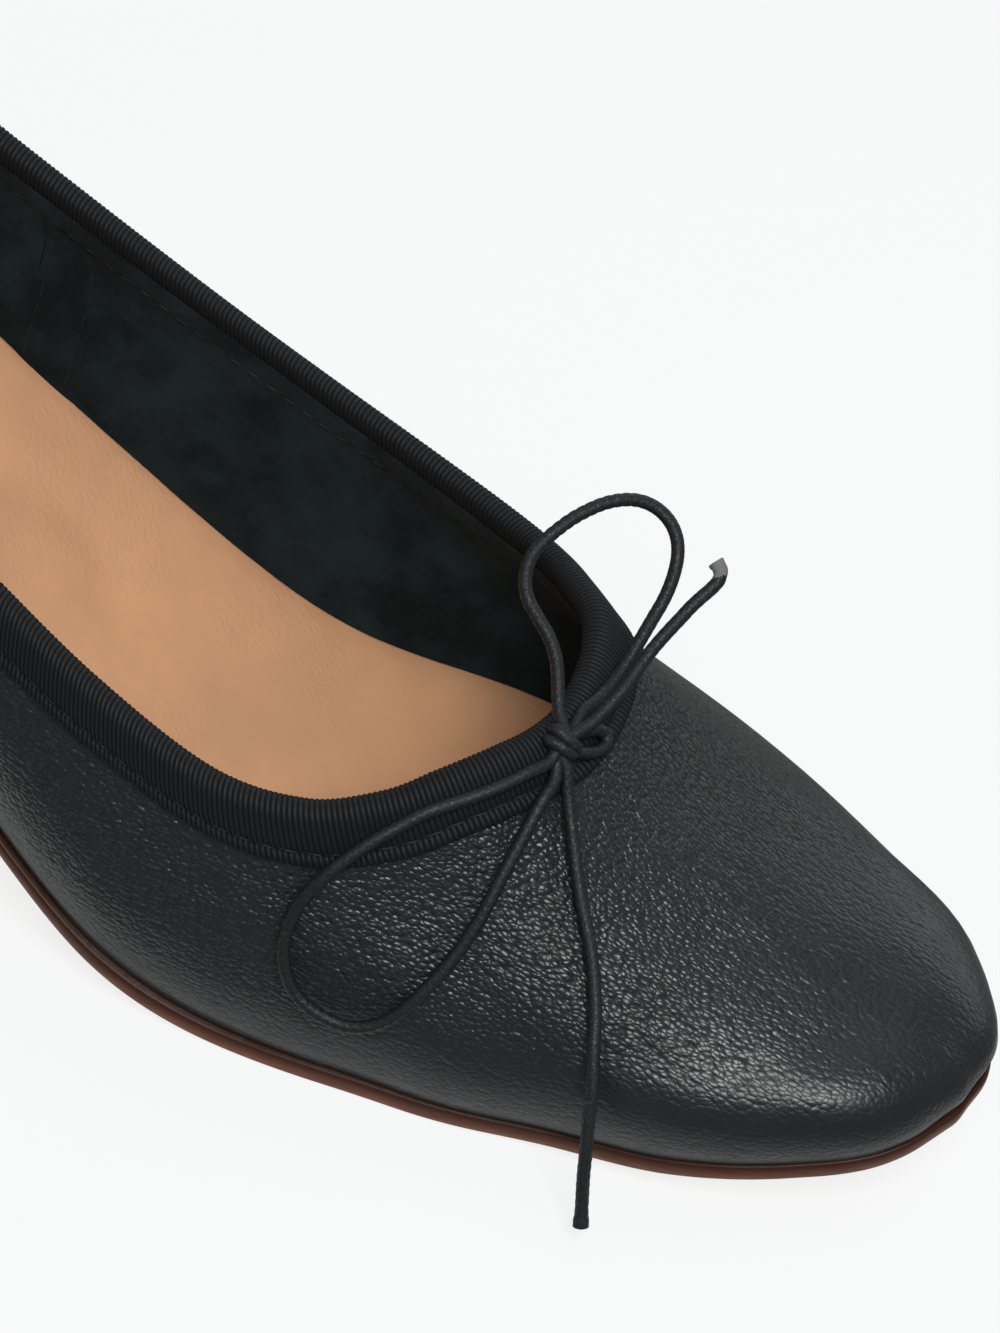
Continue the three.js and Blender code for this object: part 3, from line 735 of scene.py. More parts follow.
def sole_bottom(colors):
    nodes = Nodes("sole_bottom")
    clouds = nodes.noise(0.02, 4, nodes.stretched((0.4, 1, 1)))
    fibres = nodes.noise(0.0007, 4)
    color = nodes.tones(clouds, colors.sole_bottom, 0.85, 1.12)
    color = nodes.blend(nodes.ramp(fibres, 0.4, 0.8, 0, 0.3), color, shade(colors.sole_bottom, 0.7))
    return nodes.finish(Base_Color=color, Roughness=0.5, Normal=nodes.bump(fibres, 0.00006))


def heel_rubber(colors):
    nodes = Nodes("heel_rubber")
    speckle = nodes.noise(0.0005, 3)
    color = nodes.tones(speckle, colors.heel_rubber, 0.8, 1.4)
    return nodes.finish(Base_Color=color, Roughness=0.72, Normal=nodes.bump(speckle, 0.00005))


def waxed_cord(colors):
    """Braided cotton with pale, glossier specks scattered over it at random."""
    nodes = Nodes("waxed_cord")
    speck_pattern = nodes.noise(0.0003, 3, None, 0.6)
    pale_specks = nodes.ramp(speck_pattern, 0.56, 0.7)
    color = nodes.tones(pale_specks, colors.cord, 0.9, 4)
    roughness = nodes.ramp(speck_pattern, 0.3, 0.7, 0.66, 0.34)
    return nodes.finish(Base_Color=color, Roughness=roughness, Specular_IOR_Level=0.4,
                        Normal=nodes.bump(nodes.noise(0.00022, 3), 0.00008))


def cord_core(colors):
    nodes = Nodes("cord_core")
    fibres = nodes.noise(0.0002, 3)
    color = nodes.tones(fibres, colors.cord_core, 0.6, 1.2)
    return nodes.finish(Base_Color=color, Roughness=0.9, Normal=nodes.bump(fibres, 0.00008))


def smooth_route(points, step):
    """Centripetal curve through a route's points, sampled at even steps of its length."""
    points = np.array(points, dtype=float)
    ends = [2 * points[0] - points[1], *points, 2 * points[-1] - points[-2]]
    fine = []
    for index in range(1, len(ends) - 2):
        near = ends[index - 1 : index + 3]
        gaps = [np.linalg.norm(b - a) ** 0.5 for a, b in zip(near, near[1:])]
        leave = (near[1] - near[0]) / gaps[0] - (near[2] - near[0]) / (gaps[0] + gaps[1])
        leave = (leave + (near[2] - near[1]) / gaps[1]) * gaps[1]
        arrive = (near[2] - near[1]) / gaps[1] - (near[3] - near[1]) / (gaps[1] + gaps[2])
        arrive = (arrive + (near[3] - near[2]) / gaps[2]) * gaps[1]
        share = np.linspace(0, 1, 40, endpoint=False)[:, None]
        cubic = 2 * near[1] - 2 * near[2] + leave + arrive
        square = 3 * (near[2] - near[1]) - 2 * leave - arrive
        fine.append(((cubic * share + square) * share + leave) * share + near[1])
    fine = np.vstack([*fine, points[-1:]])
    length = lengths_along(fine)
    even = np.linspace(0, length[-1], max(2, round(length[-1] / step)) + 1)
    return np.stack([np.interp(even, length, fine[:, axis]) for axis in range(3)], axis=1), even


def frames_along(path):
    """Directions across a path, turned with it and without any twist of their own."""
    ahead = unit(np.gradient(path, axis=0))
    side = Vector(ahead[0].tolist()).orthogonal().normalized()
    sides = []
    for start, end in zip([ahead[0], *ahead[:-1]], ahead):
        turn = Vector(start.tolist()).rotation_difference(Vector(end.tolist()))
        side = turn @ side
        sides.append(side.copy())
    sides = unit(np.array(sides) - ahead * np.sum(np.array(sides) * ahead, axis=1, keepdims=True))
    return sides, np.cross(ahead, sides)


def braided_tube(path, length, diameter, braid, flare=0.0):
    """Round cord along a path, with two families of strands wound over each other."""
    across, other = frames_along(path)
    turns = np.linspace(0, 2 * math.pi, CORD_SIDES + 1)
    phase = 2 * math.pi * length[:, None] / braid
    strands = np.maximum(np.cos(STRANDS * turns + phase), np.cos(STRANDS * turns - phase))
    spread = flare * smoothstep(length, length[-1] - FLARE_LENGTH, length[-1])[:, None]
    radius = diameter / 2 * (1 + spread) * (STRAND_BASE + STRAND_LIFT * strands)
    ring = across[:, None] * np.cos(turns)[:, None] + other[:, None] * np.sin(turns)[:, None]
    tube = path[:, None] + ring * radius[..., None]
    ahead = unit(np.gradient(path, axis=0))
    caps = []
    for at, way in ((0, -1), (-1, 1)):
        rim = path[at] + (tube[at] - path[at]) * 0.86 + ahead[at] * way * 0.00008
        middle = np.repeat((path[at] + ahead[at] * way * 0.0001)[None], CORD_SIDES + 1, axis=0)
        caps.append((rim, middle))
    return mapped(np.array([caps[0][1], caps[0][0], *tube, *caps[1]]))


def vertex_values(bm, name, grid):
    """Stores a value at each vertex of a mapped grid for its material to read."""
    layer = bm.verts.layers.float.new(name)
    for vert, value in zip(bm.verts, np.asarray(grid).ravel().tolist()):
        vert[layer] = value


def build_upper(sizes, colors):
    around = np.linspace(0, 1, COLUMNS + 1)
    wall = Wall(around)
    length = wall.length
    down = mix(BINDING_RADIUS, length, np.linspace(0, 1, 46))
    rise = length - down
    along = from_throat(around)[:, None]
    below_band = np.maximum(0, down - BINDING_BAND)
    puckers = ripple(along, down, sizes.pucker_pitch) * np.exp(-below_band / PUCKER_FADE)
    puckers = puckers * smoothstep(np.abs(along), *PUCKER_REACH) * smoothstep(below_band, 0, 0.001)
    waves = ripple(along, down, WAVE_PITCH) * sizes.wave_depth
    waves = waves * smoothstep(below_band, 0, 0.008) * smoothstep(rise, 0, 0.006)
    foot = edge_swell(around)[1][:, None] * smoothstep(rise, *FOOT_REACH)
    foot = foot - sizes.foot_roll * smoothstep(rise, ROLL_REACH, 0)
    outer = wall.point(down, puckers * sizes.pucker_depth + waves - foot)
    bottom = on_sole(around, FEATHER_INSET + WALL, CLEARANCE)[:, None]
    inner_down = mix(length - INSOLE_THICKNESS, BINDING_RADIUS, np.linspace(0, 1, 14))
    inner = wall.point(inner_down, WALL)
    edge = wall.point(np.full((1, 1), BINDING_RADIUS - WALL / 2), WALL / 2)
    section = np.concatenate([edge, outer, bottom, inner, edge], axis=1)
    bm = mapped(placed(section.transpose(1, 0, 2)))
    height = outer[:, :, 2] - outer[:, -1:, 2]
    to_toe = smoothstep(outer[:, :, 0], 0.6 * LENGTH, 0.8 * LENGTH)
    lasted = mix(smoothstep(height, *SIDE_LASTED), smoothstep(height, *TOE_LASTED), to_toe)
    grain = np.ones(section.shape[:2])
    grain[:, 1 : 1 + outer.shape[1]] = mix(sizes.lasted_grain, 1.0, lasted)
    vertex_values(bm, "grain", grain.T)
    marked(bm, COLUMNS, 1 + outer.shape[1], section.shape[1] - 1, 1)
    finished("leather_upper", closed(bm), [upper_leather(colors), suede(colors)],
             ["upper"])


def lining_depth(down, sizes):
    """Depth of the lining's face: over the ribbon's inner band, then down the wall."""
    lift = BINDING_INNER * smoothstep(down, *BAND_STEP)
    seam = SEAM_DEPTH * np.exp(-(((down - sizes.stitch_down) / SEAM_WIDTH) ** 2))
    return WALL + lift - seam + sizes.lining_thickness


def build_lining(sizes, colors):
    around = np.linspace(0, 1, COLUMNS + 1)
    wall = Wall(around)
    thick = sizes.lining_thickness
    lowest = wall.length - 0.0012
    down = mix(sizes.lining_top, lowest, np.linspace(0, 1, 40) ** 1.25)
    soft = ripple(from_throat(around)[:, None], down, 0.017) * sizes.lining_wave
    soft = soft * smoothstep(down, sizes.lining_top, 0.016) * smoothstep(lowest - down, 0, 0.004)
    face = wall.point(down, lining_depth(down, sizes) + soft)
    back_down = down[:, ::-4]
    back = wall.point(back_down, lining_depth(back_down, sizes) - thick * 0.85)
    rolled = down[:, :1] - 0.0003
    roll = wall.point(rolled, lining_depth(rolled, sizes) - thick * 0.4)
    section = np.concatenate([roll, face, back, roll], axis=1)
    bm = mapped(placed(section.transpose(1, 0, 2)))
    finished("suede_lining", closed(bm), [suede(colors)])
    build_seam_tape(sizes, colors)


def build_seam_tape(sizes, colors):
    """Strip over the lining's side seam on the inner side, with a row of stitches each side."""
    near = np.linspace(0.5, 1, 2001)
    centre = near[np.argmin(np.abs(TOP_LINE.at(near)[:, 0] - sizes.tape_place))]
    step = 0.0005
    per_metre = 2 * step / np.linalg.norm(TOP_LINE.at(centre + step) - TOP_LINE.at(centre - step))
    half = sizes.tape_width / 2 * per_metre
    across = np.linspace(-1, 1, 13)
    wall = Wall(centre + across * half)
    down = mix(TAPE_TOP, wall.length - TAPE_FOOT, np.linspace(0, 1, 40))
    rounded = TAPE_LIFT * (1 - np.abs(across)[:, None] ** 4)
    face = wall.point(down, lining_depth(down, sizes) + rounded + 0.00006)
    back = wall.point(down[:, ::-1], lining_depth(down[:, ::-1], sizes) - 0.0001)
    section = np.concatenate([face, back, face[:, :1]], axis=1)
    bm = mapped(placed(section.transpose(1, 0, 2)))
    bmesh.ops.remove_doubles(bm, verts=bm.verts, dist=1e-6)
    bmesh.ops.holes_fill(bm, edges=bm.edges)
    finished("lining_seam_tape", closed(bm), [suede(colors)])
    sides = (("tape_stitches_fore", TAPE_STITCH_PLACE), ("tape_stitches_aft", -TAPE_STITCH_PLACE))
    for name, edge in sides:
        line = Wall(np.array([centre + edge * half]))
        starts = np.arange(0.009, float(line.length[0, 0]) - 0.004, TAPE_STITCH_PITCH)[None]
        first, last = (
            line.point(down, lining_depth(down, sizes) + 0.00018)[0]
            for down in (starts, starts + TAPE_STITCH_LENGTH)
        )
        stitches(name, first, last, sizes, colors)


def stitches(name, starts, ends, sizes, colors):
    """Short lengths of thread between pairs of points on the shoe."""
    bm = bmesh.new()
    for start, end in zip(placed(starts), placed(ends)):
        start, end = Vector(start.tolist()), Vector(end.tolist())
        along = end - start
        turn = along.to_track_quat("Z", "Y").to_matrix().to_4x4()
        size = Matrix.Diagonal((sizes.thread_diameter, sizes.thread_diameter, along.length, 1))
        matrix = Matrix.Translation((start + end) / 2) @ turn @ size
        bmesh.ops.create_uvsphere(bm, u_segments=6, v_segments=6, radius=0.5, matrix=matrix)
    finished(name, bm, [thread(colors)])


def build_binding(sizes, colors):
    """Ribbed ribbon folded over the topline, its ribs across it, sewn near its lower edge."""
    around_length = topline_lengths()[1][-1]
    ribs = round(around_length / sizes.rib_pitch)
    around = topline_places(ribs * SAMPLES_PER_RIB)
    wall = Wall(around)
    phase = (np.arange(len(around)) % SAMPLES_PER_RIB) / SAMPLES_PER_RIB
    rib = (1 - np.abs(2 * phase - 1) ** 2.3)[:, None]
    outside = CLEARANCE + BINDING_THICKNESS
    inside = BINDING_INNER
    stitch = sizes.stitch_down
    band = BINDING_BAND
    # down from the topline, depth from the outer face, share of the rib's height
    outer_rows = [
        (band + 0.00005, -0.0001, 0.3), (band + 0.00008, -0.00055, 0.8),
        (band - 0.0002, -0.0009, 1), (band - 0.0008, -0.00098, 1),
        (stitch + 0.0004, -0.00088, 1), (stitch, -0.00066, 0.7),
        (stitch - 0.0004, -0.0009, 1), (stitch - 0.0011, -0.00108, 1), (0.0047, -0.00116, 1),
        (0.0033, -0.00114, 1), (BINDING_RADIUS, -outside, 1),
    ]
    inner_rows = [
        (BINDING_RADIUS, WALL + inside, 1), (0.0031, WALL + inside, 1), (0.0042, WALL + inside, 1),
        (0.0056, WALL + 0.0004, 0.5), (0.006, WALL + 0.0001, 0), (0.0045, WALL + 0.0001, 0),
        (BINDING_RADIUS, WALL + 0.0001, 0),
    ]
    tucked_rows = [(BINDING_RADIUS, -0.0001, 0), (0.0055, -0.0001, 0)]

    def rows(table, frayed=0.0):
        """Rings of points; the ribs raise them and push out those at the lower edge."""
        for down, depth, relief in table:
            lift = rib * relief * sizes.rib_depth
            down = np.full((1, 1), down) + (rib * relief * frayed if down > band - 0.0003 else 0)
            yield wall.point(down, depth - lift if depth < 0 else depth + lift)

    arc = []
    for angle in np.radians([22, 45, 68, 90, 112, 135, 158]):
        reach = WALL / 2 + (outside if angle < math.pi / 2 else inside) + rib * sizes.rib_depth
        rise = BINDING_RADIUS + rib * sizes.rib_depth
        arc.append(wall.point(BINDING_RADIUS - rise * math.sin(angle),
                              WALL / 2 - reach * math.cos(angle)))
    under = wall.point(np.full((1, 1), 0.0008), WALL / 2)
    section = [*rows(outer_rows, 0.00016), *arc, *rows(inner_rows), under, *rows(tucked_rows)]
    section.append(section[0])
    bm = mapped(placed(np.concatenate(section, axis=1).transpose(1, 0, 2)))
    # the ribs' colour shows in full outside, less on the fold's inner half and least inside, where
    # the ribbon's material darkens it to near black as painted shade
    unshaded_share = [1] * len(outer_rows) + [1, 1, 1, 1, 0.75, 0.5, 0.4]
    unshaded_share = np.array(unshaded_share + [0.3] * (len(section) - len(unshaded_share)))
    # the "rib" attribute is the ribs' profile times this share, so it also carries the painted
    # shade
    vertex_values(bm, "rib", rib[:, 0] * unshaded_share[:, None])
    finished("ribbed_binding", closed(bm), [ribbon(colors)], ["collar_binding"])

    pitch = sizes.stitch_length + sizes.stitch_gap
    places = topline_places(round(around_length / pitch))
    begin = Wall(places[:-1])
    finish = Wall(places[:-1] + np.diff(places) * (sizes.stitch_length / pitch))
    slant = 0.00012
    face = float(lining_depth(np.array(stitch), sizes)) + 0.00006
    for name, depth in (("binding_stitches", -0.0008), ("lining_stitches", face)):
        first, last = (
            line.point(np.full((1, 1), down), depth)[:, 0]
            for line, down in ((begin, stitch - slant), (finish, stitch + slant))
        )
        stitches(name, first, last, sizes, colors)


def to_middle(rim, partner, shares):
    """Rows from a rim in to the line halfway between each point and its partner across."""
    middle = (rim + rim[partner]) / 2
    return [mix(rim, middle, share) for share in shares]


def build_insole(sizes, colors):
    around = np.linspace(0, 1, COLUMNS + 1)
    partner = COLUMNS - np.arange(COLUMNS + 1)
    wall = Wall(around)
    along = from_throat(around)
    depth = WALL + sizes.lining_thickness - 0.0002
    depth = depth + ripple(along, 0 * around, 0.008)[:, None] * 0.00012
    uneven = ripple(along, 0 * around, 0.005) * 0.00038
    uneven = uneven + ripple(along, 0 * around, 0.0017) * 0.00012
    rim = wall.point(wall.length - INSOLE_THICKNESS, depth)[:, 0]
    rolled = wall.point(wall.length - INSOLE_THICKNESS, depth + 0.0005)[:, 0]
    low = on_sole(around, FEATHER_INSET + WALL + CLEARANCE, CLEARANCE)
    dent, _ = smooth_route(INSOLE_DENT, 0.0005)
    shares = np.linspace(0, 1, 30)[1:] ** 0.9
    top = []
    for share, row in zip(shares, to_middle(rolled, partner, shares)):
        row = row.copy()
        hollow = sizes.insole_hollow * (1 - (1 - share) ** 2)
        soft = ripple(row[:, 0], row[:, 1], 0.034) * sizes.insole_wave * smoothstep(share, 0, 0.4)
        from_dent = np.hypot(row[:, 0, None] - dent[:, 0], row[:, 1, None] - dent[:, 1]).min(axis=1)
        row[:, 2] += 0.0003 * smoothstep(share, 0, 0.06) - hollow + soft
        row[:, 2] += uneven * smoothstep(share, 0.2, 0)
        row[:, 2] -= sizes.dent_depth * np.exp(-((from_dent / DENT_WIDTH) ** 2))
        top.append(row)
    under = to_middle(low, partner, (0, 0.35, 1))
    bm = mapped(placed(np.stack([*under[::-1], rim, rolled, *top])))
    finished("insole_sock", closed(bm), [insole_leather(colors)], ["insole"])


def build_outsole(sizes, colors):
    breast = SEAT_LENGTH + CLEARANCE
    start = outline_place(breast)
    around = np.linspace(start, 1 - start, COLUMNS + 1)
    partner = COLUMNS - np.arange(COLUMNS + 1)
    swell = edge_swell(around)[0][:, None]

    def ring(inset, rise):
        point = on_sole(around, inset - swell, 0)
        point[:, 0] = np.maximum(point[:, 0], breast)
        thickness = sole_thickness(point[:, 0])
        point[:, 2] = sole_top(point[:, 0]) - thickness + rise * thickness
        return point

    # how far the edge lies in from the outline, and its height as a share of the thickness
    curve = [(SOLE_EDGE_ROUND, 0), (0.00028, 0.06), (0.0001, 0.17), (0, 0.35), (-0.00005, 0.55),
             (0, 0.8), (0.0001, 0.93), (0.00035, 1)]
    side = [ring(inset, rise) for inset, rise in curve]
    groove = [ring(0.0034, 0), ring(0.0038, 0) + UP * 0.00016, ring(0.0042, 0)]
    under = [*groove, *to_middle(side[0], partner, (0.3, 0.65, 1))]
    top = to_middle(side[-1], partner, (0.3, 1))
    section = [*under[::-1], *side, *top]
    section = [np.vstack([row, row[:1]]) for row in section]
    bm = mapped(placed(np.stack(section)))
    # height share of each row, which the edge's material reads to paint shade along the top
    rise = np.array([0.0] * len(under) + [rise for _, rise in curve] + [1.0] * len(top))
    vertex_values(bm, "rise", np.broadcast_to(rise[:, None], (len(section), len(section[0]))))
    columns = COLUMNS + 1
    marked(bm, columns, len(under), len(section) - 1, 1)
    finished("leather_sole", closed(bm), [sole_bottom(colors), sole_edge(colors)],
             ["outsole"], sharp=50)


def seat_outline(count):
    """The seat's outline as shares of its length and half width, with its hollow breast."""
    breast = outline_place(SEAT_LENGTH)
    widest = abs(float(SOLE_LINE.at(np.array([breast]))[0, 1]))
    around = np.linspace(-breast, breast, count)
    rim = on_sole(around, FEATHER_INSET, 0)
    along = np.minimum(1, rim[:, 0] / SEAT_LENGTH)
    along[[0, -1]] = 1
    across = rim[:, 1] / widest
    share = np.linspace(0, 1, count // 3)[1:-1]
    along = np.concatenate([along, np.ones(len(share))])
    across = np.concatenate([across, mix(across[-1], across[0], share)])
    hollow = np.concatenate([np.zeros(count), 4 * share * (1 - share)])
    return along, across, hollow, widest


def build_heel(sizes, colors):
    along, across, hollow, widest = seat_outline(121)
    table = np.array(HEEL_SECTIONS, dtype=float)
    foot = HEEL_TIP_THICKNESS + CLEARANCE

    def smooth(down, column):
        """Reads a column of the sections between their rows, on a smooth curve."""
        slopes = np.gradient(table[:, column], table[:, 0])
        index = min(int(np.searchsorted(table[:, 0], down, side="right")) - 1, len(table) - 2)
        gap = table[index + 1, 0] - table[index, 0]
        share = (down - table[index, 0]) / gap
        start, end = table[index, column], table[index + 1, column]
        cubic = 2 * start - 2 * end + (slopes[index] + slopes[index + 1]) * gap
        square = 3 * (end - start) - (2 * slopes[index] + slopes[index + 1]) * gap
        return ((cubic * share + square) * share + slopes[index] * gap) * share + start

    def ring(down, height, shrink=1.0):
        back = mix(0, TREAD_SETBACK, smooth(down, 1))
        breast = mix(SEAT_LENGTH, TREAD_SETBACK + TREAD_LENGTH, smooth(down, 2))
        half = mix(widest, TREAD_WIDTH / 2, smooth(down, 3))
        x = mix(back, breast, along) - hollow * BREAST_HOLLOW * math.sin(math.pi * down)
        y = across * half
        x = (back + breast) / 2 + (x - (back + breast) / 2) * shrink
        points = np.stack([x, y * shrink, height(x)], axis=1)
        return np.vstack([points, points[:1]])

    levels = np.linspace(0, 1, 44)
    rings = [ring(down, lambda x, d=down: mix(sole_top(x), foot, d)) for down in levels]
    lid = [ring(0, sole_top, shrink) for shrink in (0, 0.5)]
    base = [ring(1, lambda x: 0 * x + foot, shrink) for shrink in (0.97, 0.5, 0)]
    bm = mapped(placed(np.stack([*lid, *rings, *base])))
    finished("covered_heel", closed(bm), [heel_leather(colors)], ["heel"], sharp=40)

    def tip_ring(inset, height):
        share = 1 - 2 * inset / TREAD_WIDTH
        points = ring(1, lambda x: 0 * x) - [TREAD_CENTRE, 0, 0]
        return points * [share, share, 0] + [TREAD_CENTRE, 0, height]

    top = HEEL_TIP_THICKNESS
    tip = [(0.5, 0), (0.05, 0), (0.022, 0), (0.008, 0.04), (0, 0.11), (0, 0.5), (0, 0.93),
           (0.008, 0.98), (0.02, 1), (0.5, 1)]
    rings = [tip_ring(inset * TREAD_WIDTH, height * top) for inset, height in tip]
    bm = mapped(placed(np.stack(rings)))
    finished("rubber_heel_tip", closed(bm), [heel_rubber(colors)], ["heel_tip"],
             sharp=50)


def build_bow(sizes, colors):
    materials = [waxed_cord(colors), cord_core(colors)]
    facing = Vector(KNOT_FACING).normalized()
    side = facing.cross(Vector(KNOT_ALONG)).normalized()
    along = side.cross(facing)
    centre = Vector(KNOT_PLACE)

    def inside(forward, across, rise):
        return tuple(centre + along * forward + side * across + facing * rise)

    knot_bm = bmesh.new()
    wrap_turns = np.linspace(0, 2 * math.pi, 97)
    for shift, tilt in KNOT_WRAPS:
        ring = []
        for turn in wrap_turns:
            across = math.cos(turn) * KNOT_WIDTH / 2
            rise = math.sin(turn) * (KNOT_HEIGHT - sizes.cord_diameter * 0.6) / 2
            ring.append(inside(shift + tilt * across, across, rise))
        path = np.array(ring)
        add_tube(knot_bm, path, lengths_along(path), sizes)
    path, length = smooth_route(KNOT_EAR, CORD_STEP)
    add_tube(knot_bm, path, length, sizes)
    knot = finished("cord_knot", knot_bm, materials, ["bow_knot"])

    inlets = {
        "bow_loop_near": ([inside(0.0002, -0.0004, 0.0002)], [inside(0.0006, -0.0002, -0.0003)]),
        "bow_loop_far": ([inside(-0.0006, 0.0002, 0.0003)], [inside(-0.0002, 0.0006, -0.0002)]),
        "bow_end_near": ([inside(-0.0008, 0.0002, 0.0), inside(0.0006, -0.0004, 0.0)], []),
        "bow_end_far": ([inside(0.0016, -0.0008, -0.0004), inside(-0.0002, 0.0, 0.0)], []),
    }
    for node, (first, last) in inlets.items():
        path, length = smooth_route([*first, *CORD_ROUTES[node], *last], CORD_STEP)
        flare = 0.0 if last else FLARE
        bm = closed(braided_tube(path, length, sizes.cord_diameter, sizes.braid_pitch, flare))
        cord = finished(node.replace("bow", "cord"), bm, materials, [node])
        if not last:
            paint_cut_end(cord, path[-1], FRAYED_REACH[node])
        tuple(path[0])
        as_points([tuple(point) for point in path[::5]] + [tuple(path[-1])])


def add_tube(bm, path, length, sizes):
    """Adds a closed cord along a path to a mesh that has others."""
    tube = closed(braided_tube(path, length, sizes.cord_diameter, sizes.braid_pitch))
    mesh = bpy.data.meshes.new("tube")
    tube.to_mesh(mesh)
    tube.free()
    bm.from_mesh(mesh)
    bpy.data.meshes.remove(mesh)


def paint_cut_end(cord, end, reach):
    """Shows the pale core on the faces within a short way of the cord's cut end."""
    end = Vector(end.tolist())
    for face in cord.data.polygons:
        if (face.center - end).length < reach:
            face.material_index = 1


def soft_light(name, place, aim, size, power):
    data = bpy.data.lights.new(name, "AREA")
    data.shape = "RECTANGLE"
    data.size, data.size_y = size
    data.energy = power
    light = bpy.data.objects.new(name, data)
    light.location = place
    light.rotation_euler = (Vector(aim) - Vector(place)).to_track_quat("-Z", "Y").to_euler()
    light.visible_camera = False
    bpy.context.scene.collection.objects.link(light)


def build_stage(sizes, colors):
    scene = bpy.context.scene
    scene.view_settings.view_transform = "Standard"
    bm = bmesh.new()
    bmesh.ops.create_grid(bm, x_segments=1, y_segments=1, size=6)
    mesh = bpy.data.meshes.new("floor")
    bm.to_mesh(mesh)
    bm.free()
    nodes = Nodes("pale_floor")
    haze = nodes.tones(nodes.noise(0.4, 1), colors.floor, 0.15, 0.155)
    seen = nodes.add("ShaderNodeLightPath").outputs["Is Camera Ray"]
    around_shoe = nodes.add("ShaderNodeVectorMath", operation="LENGTH")
    shoe_centre = nodes.add("ShaderNodeMapping")
    nodes.feed(shoe_centre.inputs["Vector"], nodes.place)
    nodes.feed(shoe_centre.inputs["Location"], POOL_SHIFT)
    nodes.feed(shoe_centre.inputs["Scale"], POOL_SCALE)
    nodes.feed(around_shoe.inputs[0], shoe_centre.outputs["Vector"])
    near = nodes.ramp(around_shoe.outputs["Value"], 0.8, 1.6, 1.0, 0.0)
    near = nodes.math("MULTIPLY", near, near)
    under_light = nodes.math("ADD", nodes.math("MULTIPLY", near, sizes.under_glow), sizes.far_glow)
    glow = nodes.math("ADD", nodes.math("MULTIPLY", seen, sizes.floor_glow),
                      nodes.math("MULTIPLY", nodes.math("SUBTRACT", 1.0, seen), under_light))
    mesh.materials.append(nodes.finish(
        Base_Color=haze, Roughness=0.9, Specular_IOR_Level=0.1,
        Emission_Color=shade(colors.floor, 1), Emission_Strength=glow))
    floor = bpy.data.objects.new("floor", mesh)
    scene.collection.objects.link(floor)

    world = bpy.data.worlds.new("studio")
    world.use_nodes = True
    background = world.node_tree.nodes["Background"].inputs
    background["Color"].default_value = (*colors.surround, 1)
    background["Strength"].default_value = sizes.surround_light
    scene.world = world

    toe = (0.15, 0, 0.03)
    soft_light("key_softbox", (0.37, -0.37, 0.76), toe, (0.32, 0.32), sizes.key_power)
    soft_light("top_softbox", (0.0, 0.25, 0.95), toe, (0.8, 0.5), sizes.top_power)
    soft_light("far_card", (0.15, 1.0, 0.38), toe, (1.6, 0.5), sizes.far_power)

    azimuth, elevation, roll = (
        math.radians(angle) for angle in (CAMERA_AZIMUTH, CAMERA_ELEVATION, CAMERA_ROLL)
    )
    back = Vector((
        math.cos(azimuth) * math.cos(elevation),
        -math.sin(azimuth) * math.cos(elevation),
        math.sin(elevation),
    ))
    right = Vector((0, 0, 1)).cross(back).normalized()
    up = back.cross(right)
    across = right * math.cos(roll) + up * math.sin(roll)
    upright = up * math.cos(roll) - right * math.sin(roll)
    data = bpy.data.cameras.new("photo_camera")
    data.lens = CAMERA_LENS
    data.sensor_width = CAMERA_SENSOR
    data.clip_start, data.clip_end = 0.01, 20
    camera = bpy.data.objects.new("photo_camera", data)
    turned = Matrix((across, upright, back)).transposed().to_4x4()
    place = Vector(CAMERA_TARGET) + back * CAMERA_DISTANCE
    camera.matrix_world = Matrix.Translation(place) @ turned
    scene.collection.objects.link(camera)
    scene.camera = camera


def plain_value(label, about, default, **more):
    return bpy.props.FloatProperty(name=label, description=about, default=default, min=0, **more)


def length_value(label, about, default):
    return plain_value(label, about, default, unit="LENGTH", precision=5)


def color_value(label, about, default):
    return bpy.props.FloatVectorProperty(
        name=label, description=about, default=default, min=0, max=1, subtype="COLOR", size=3
    )


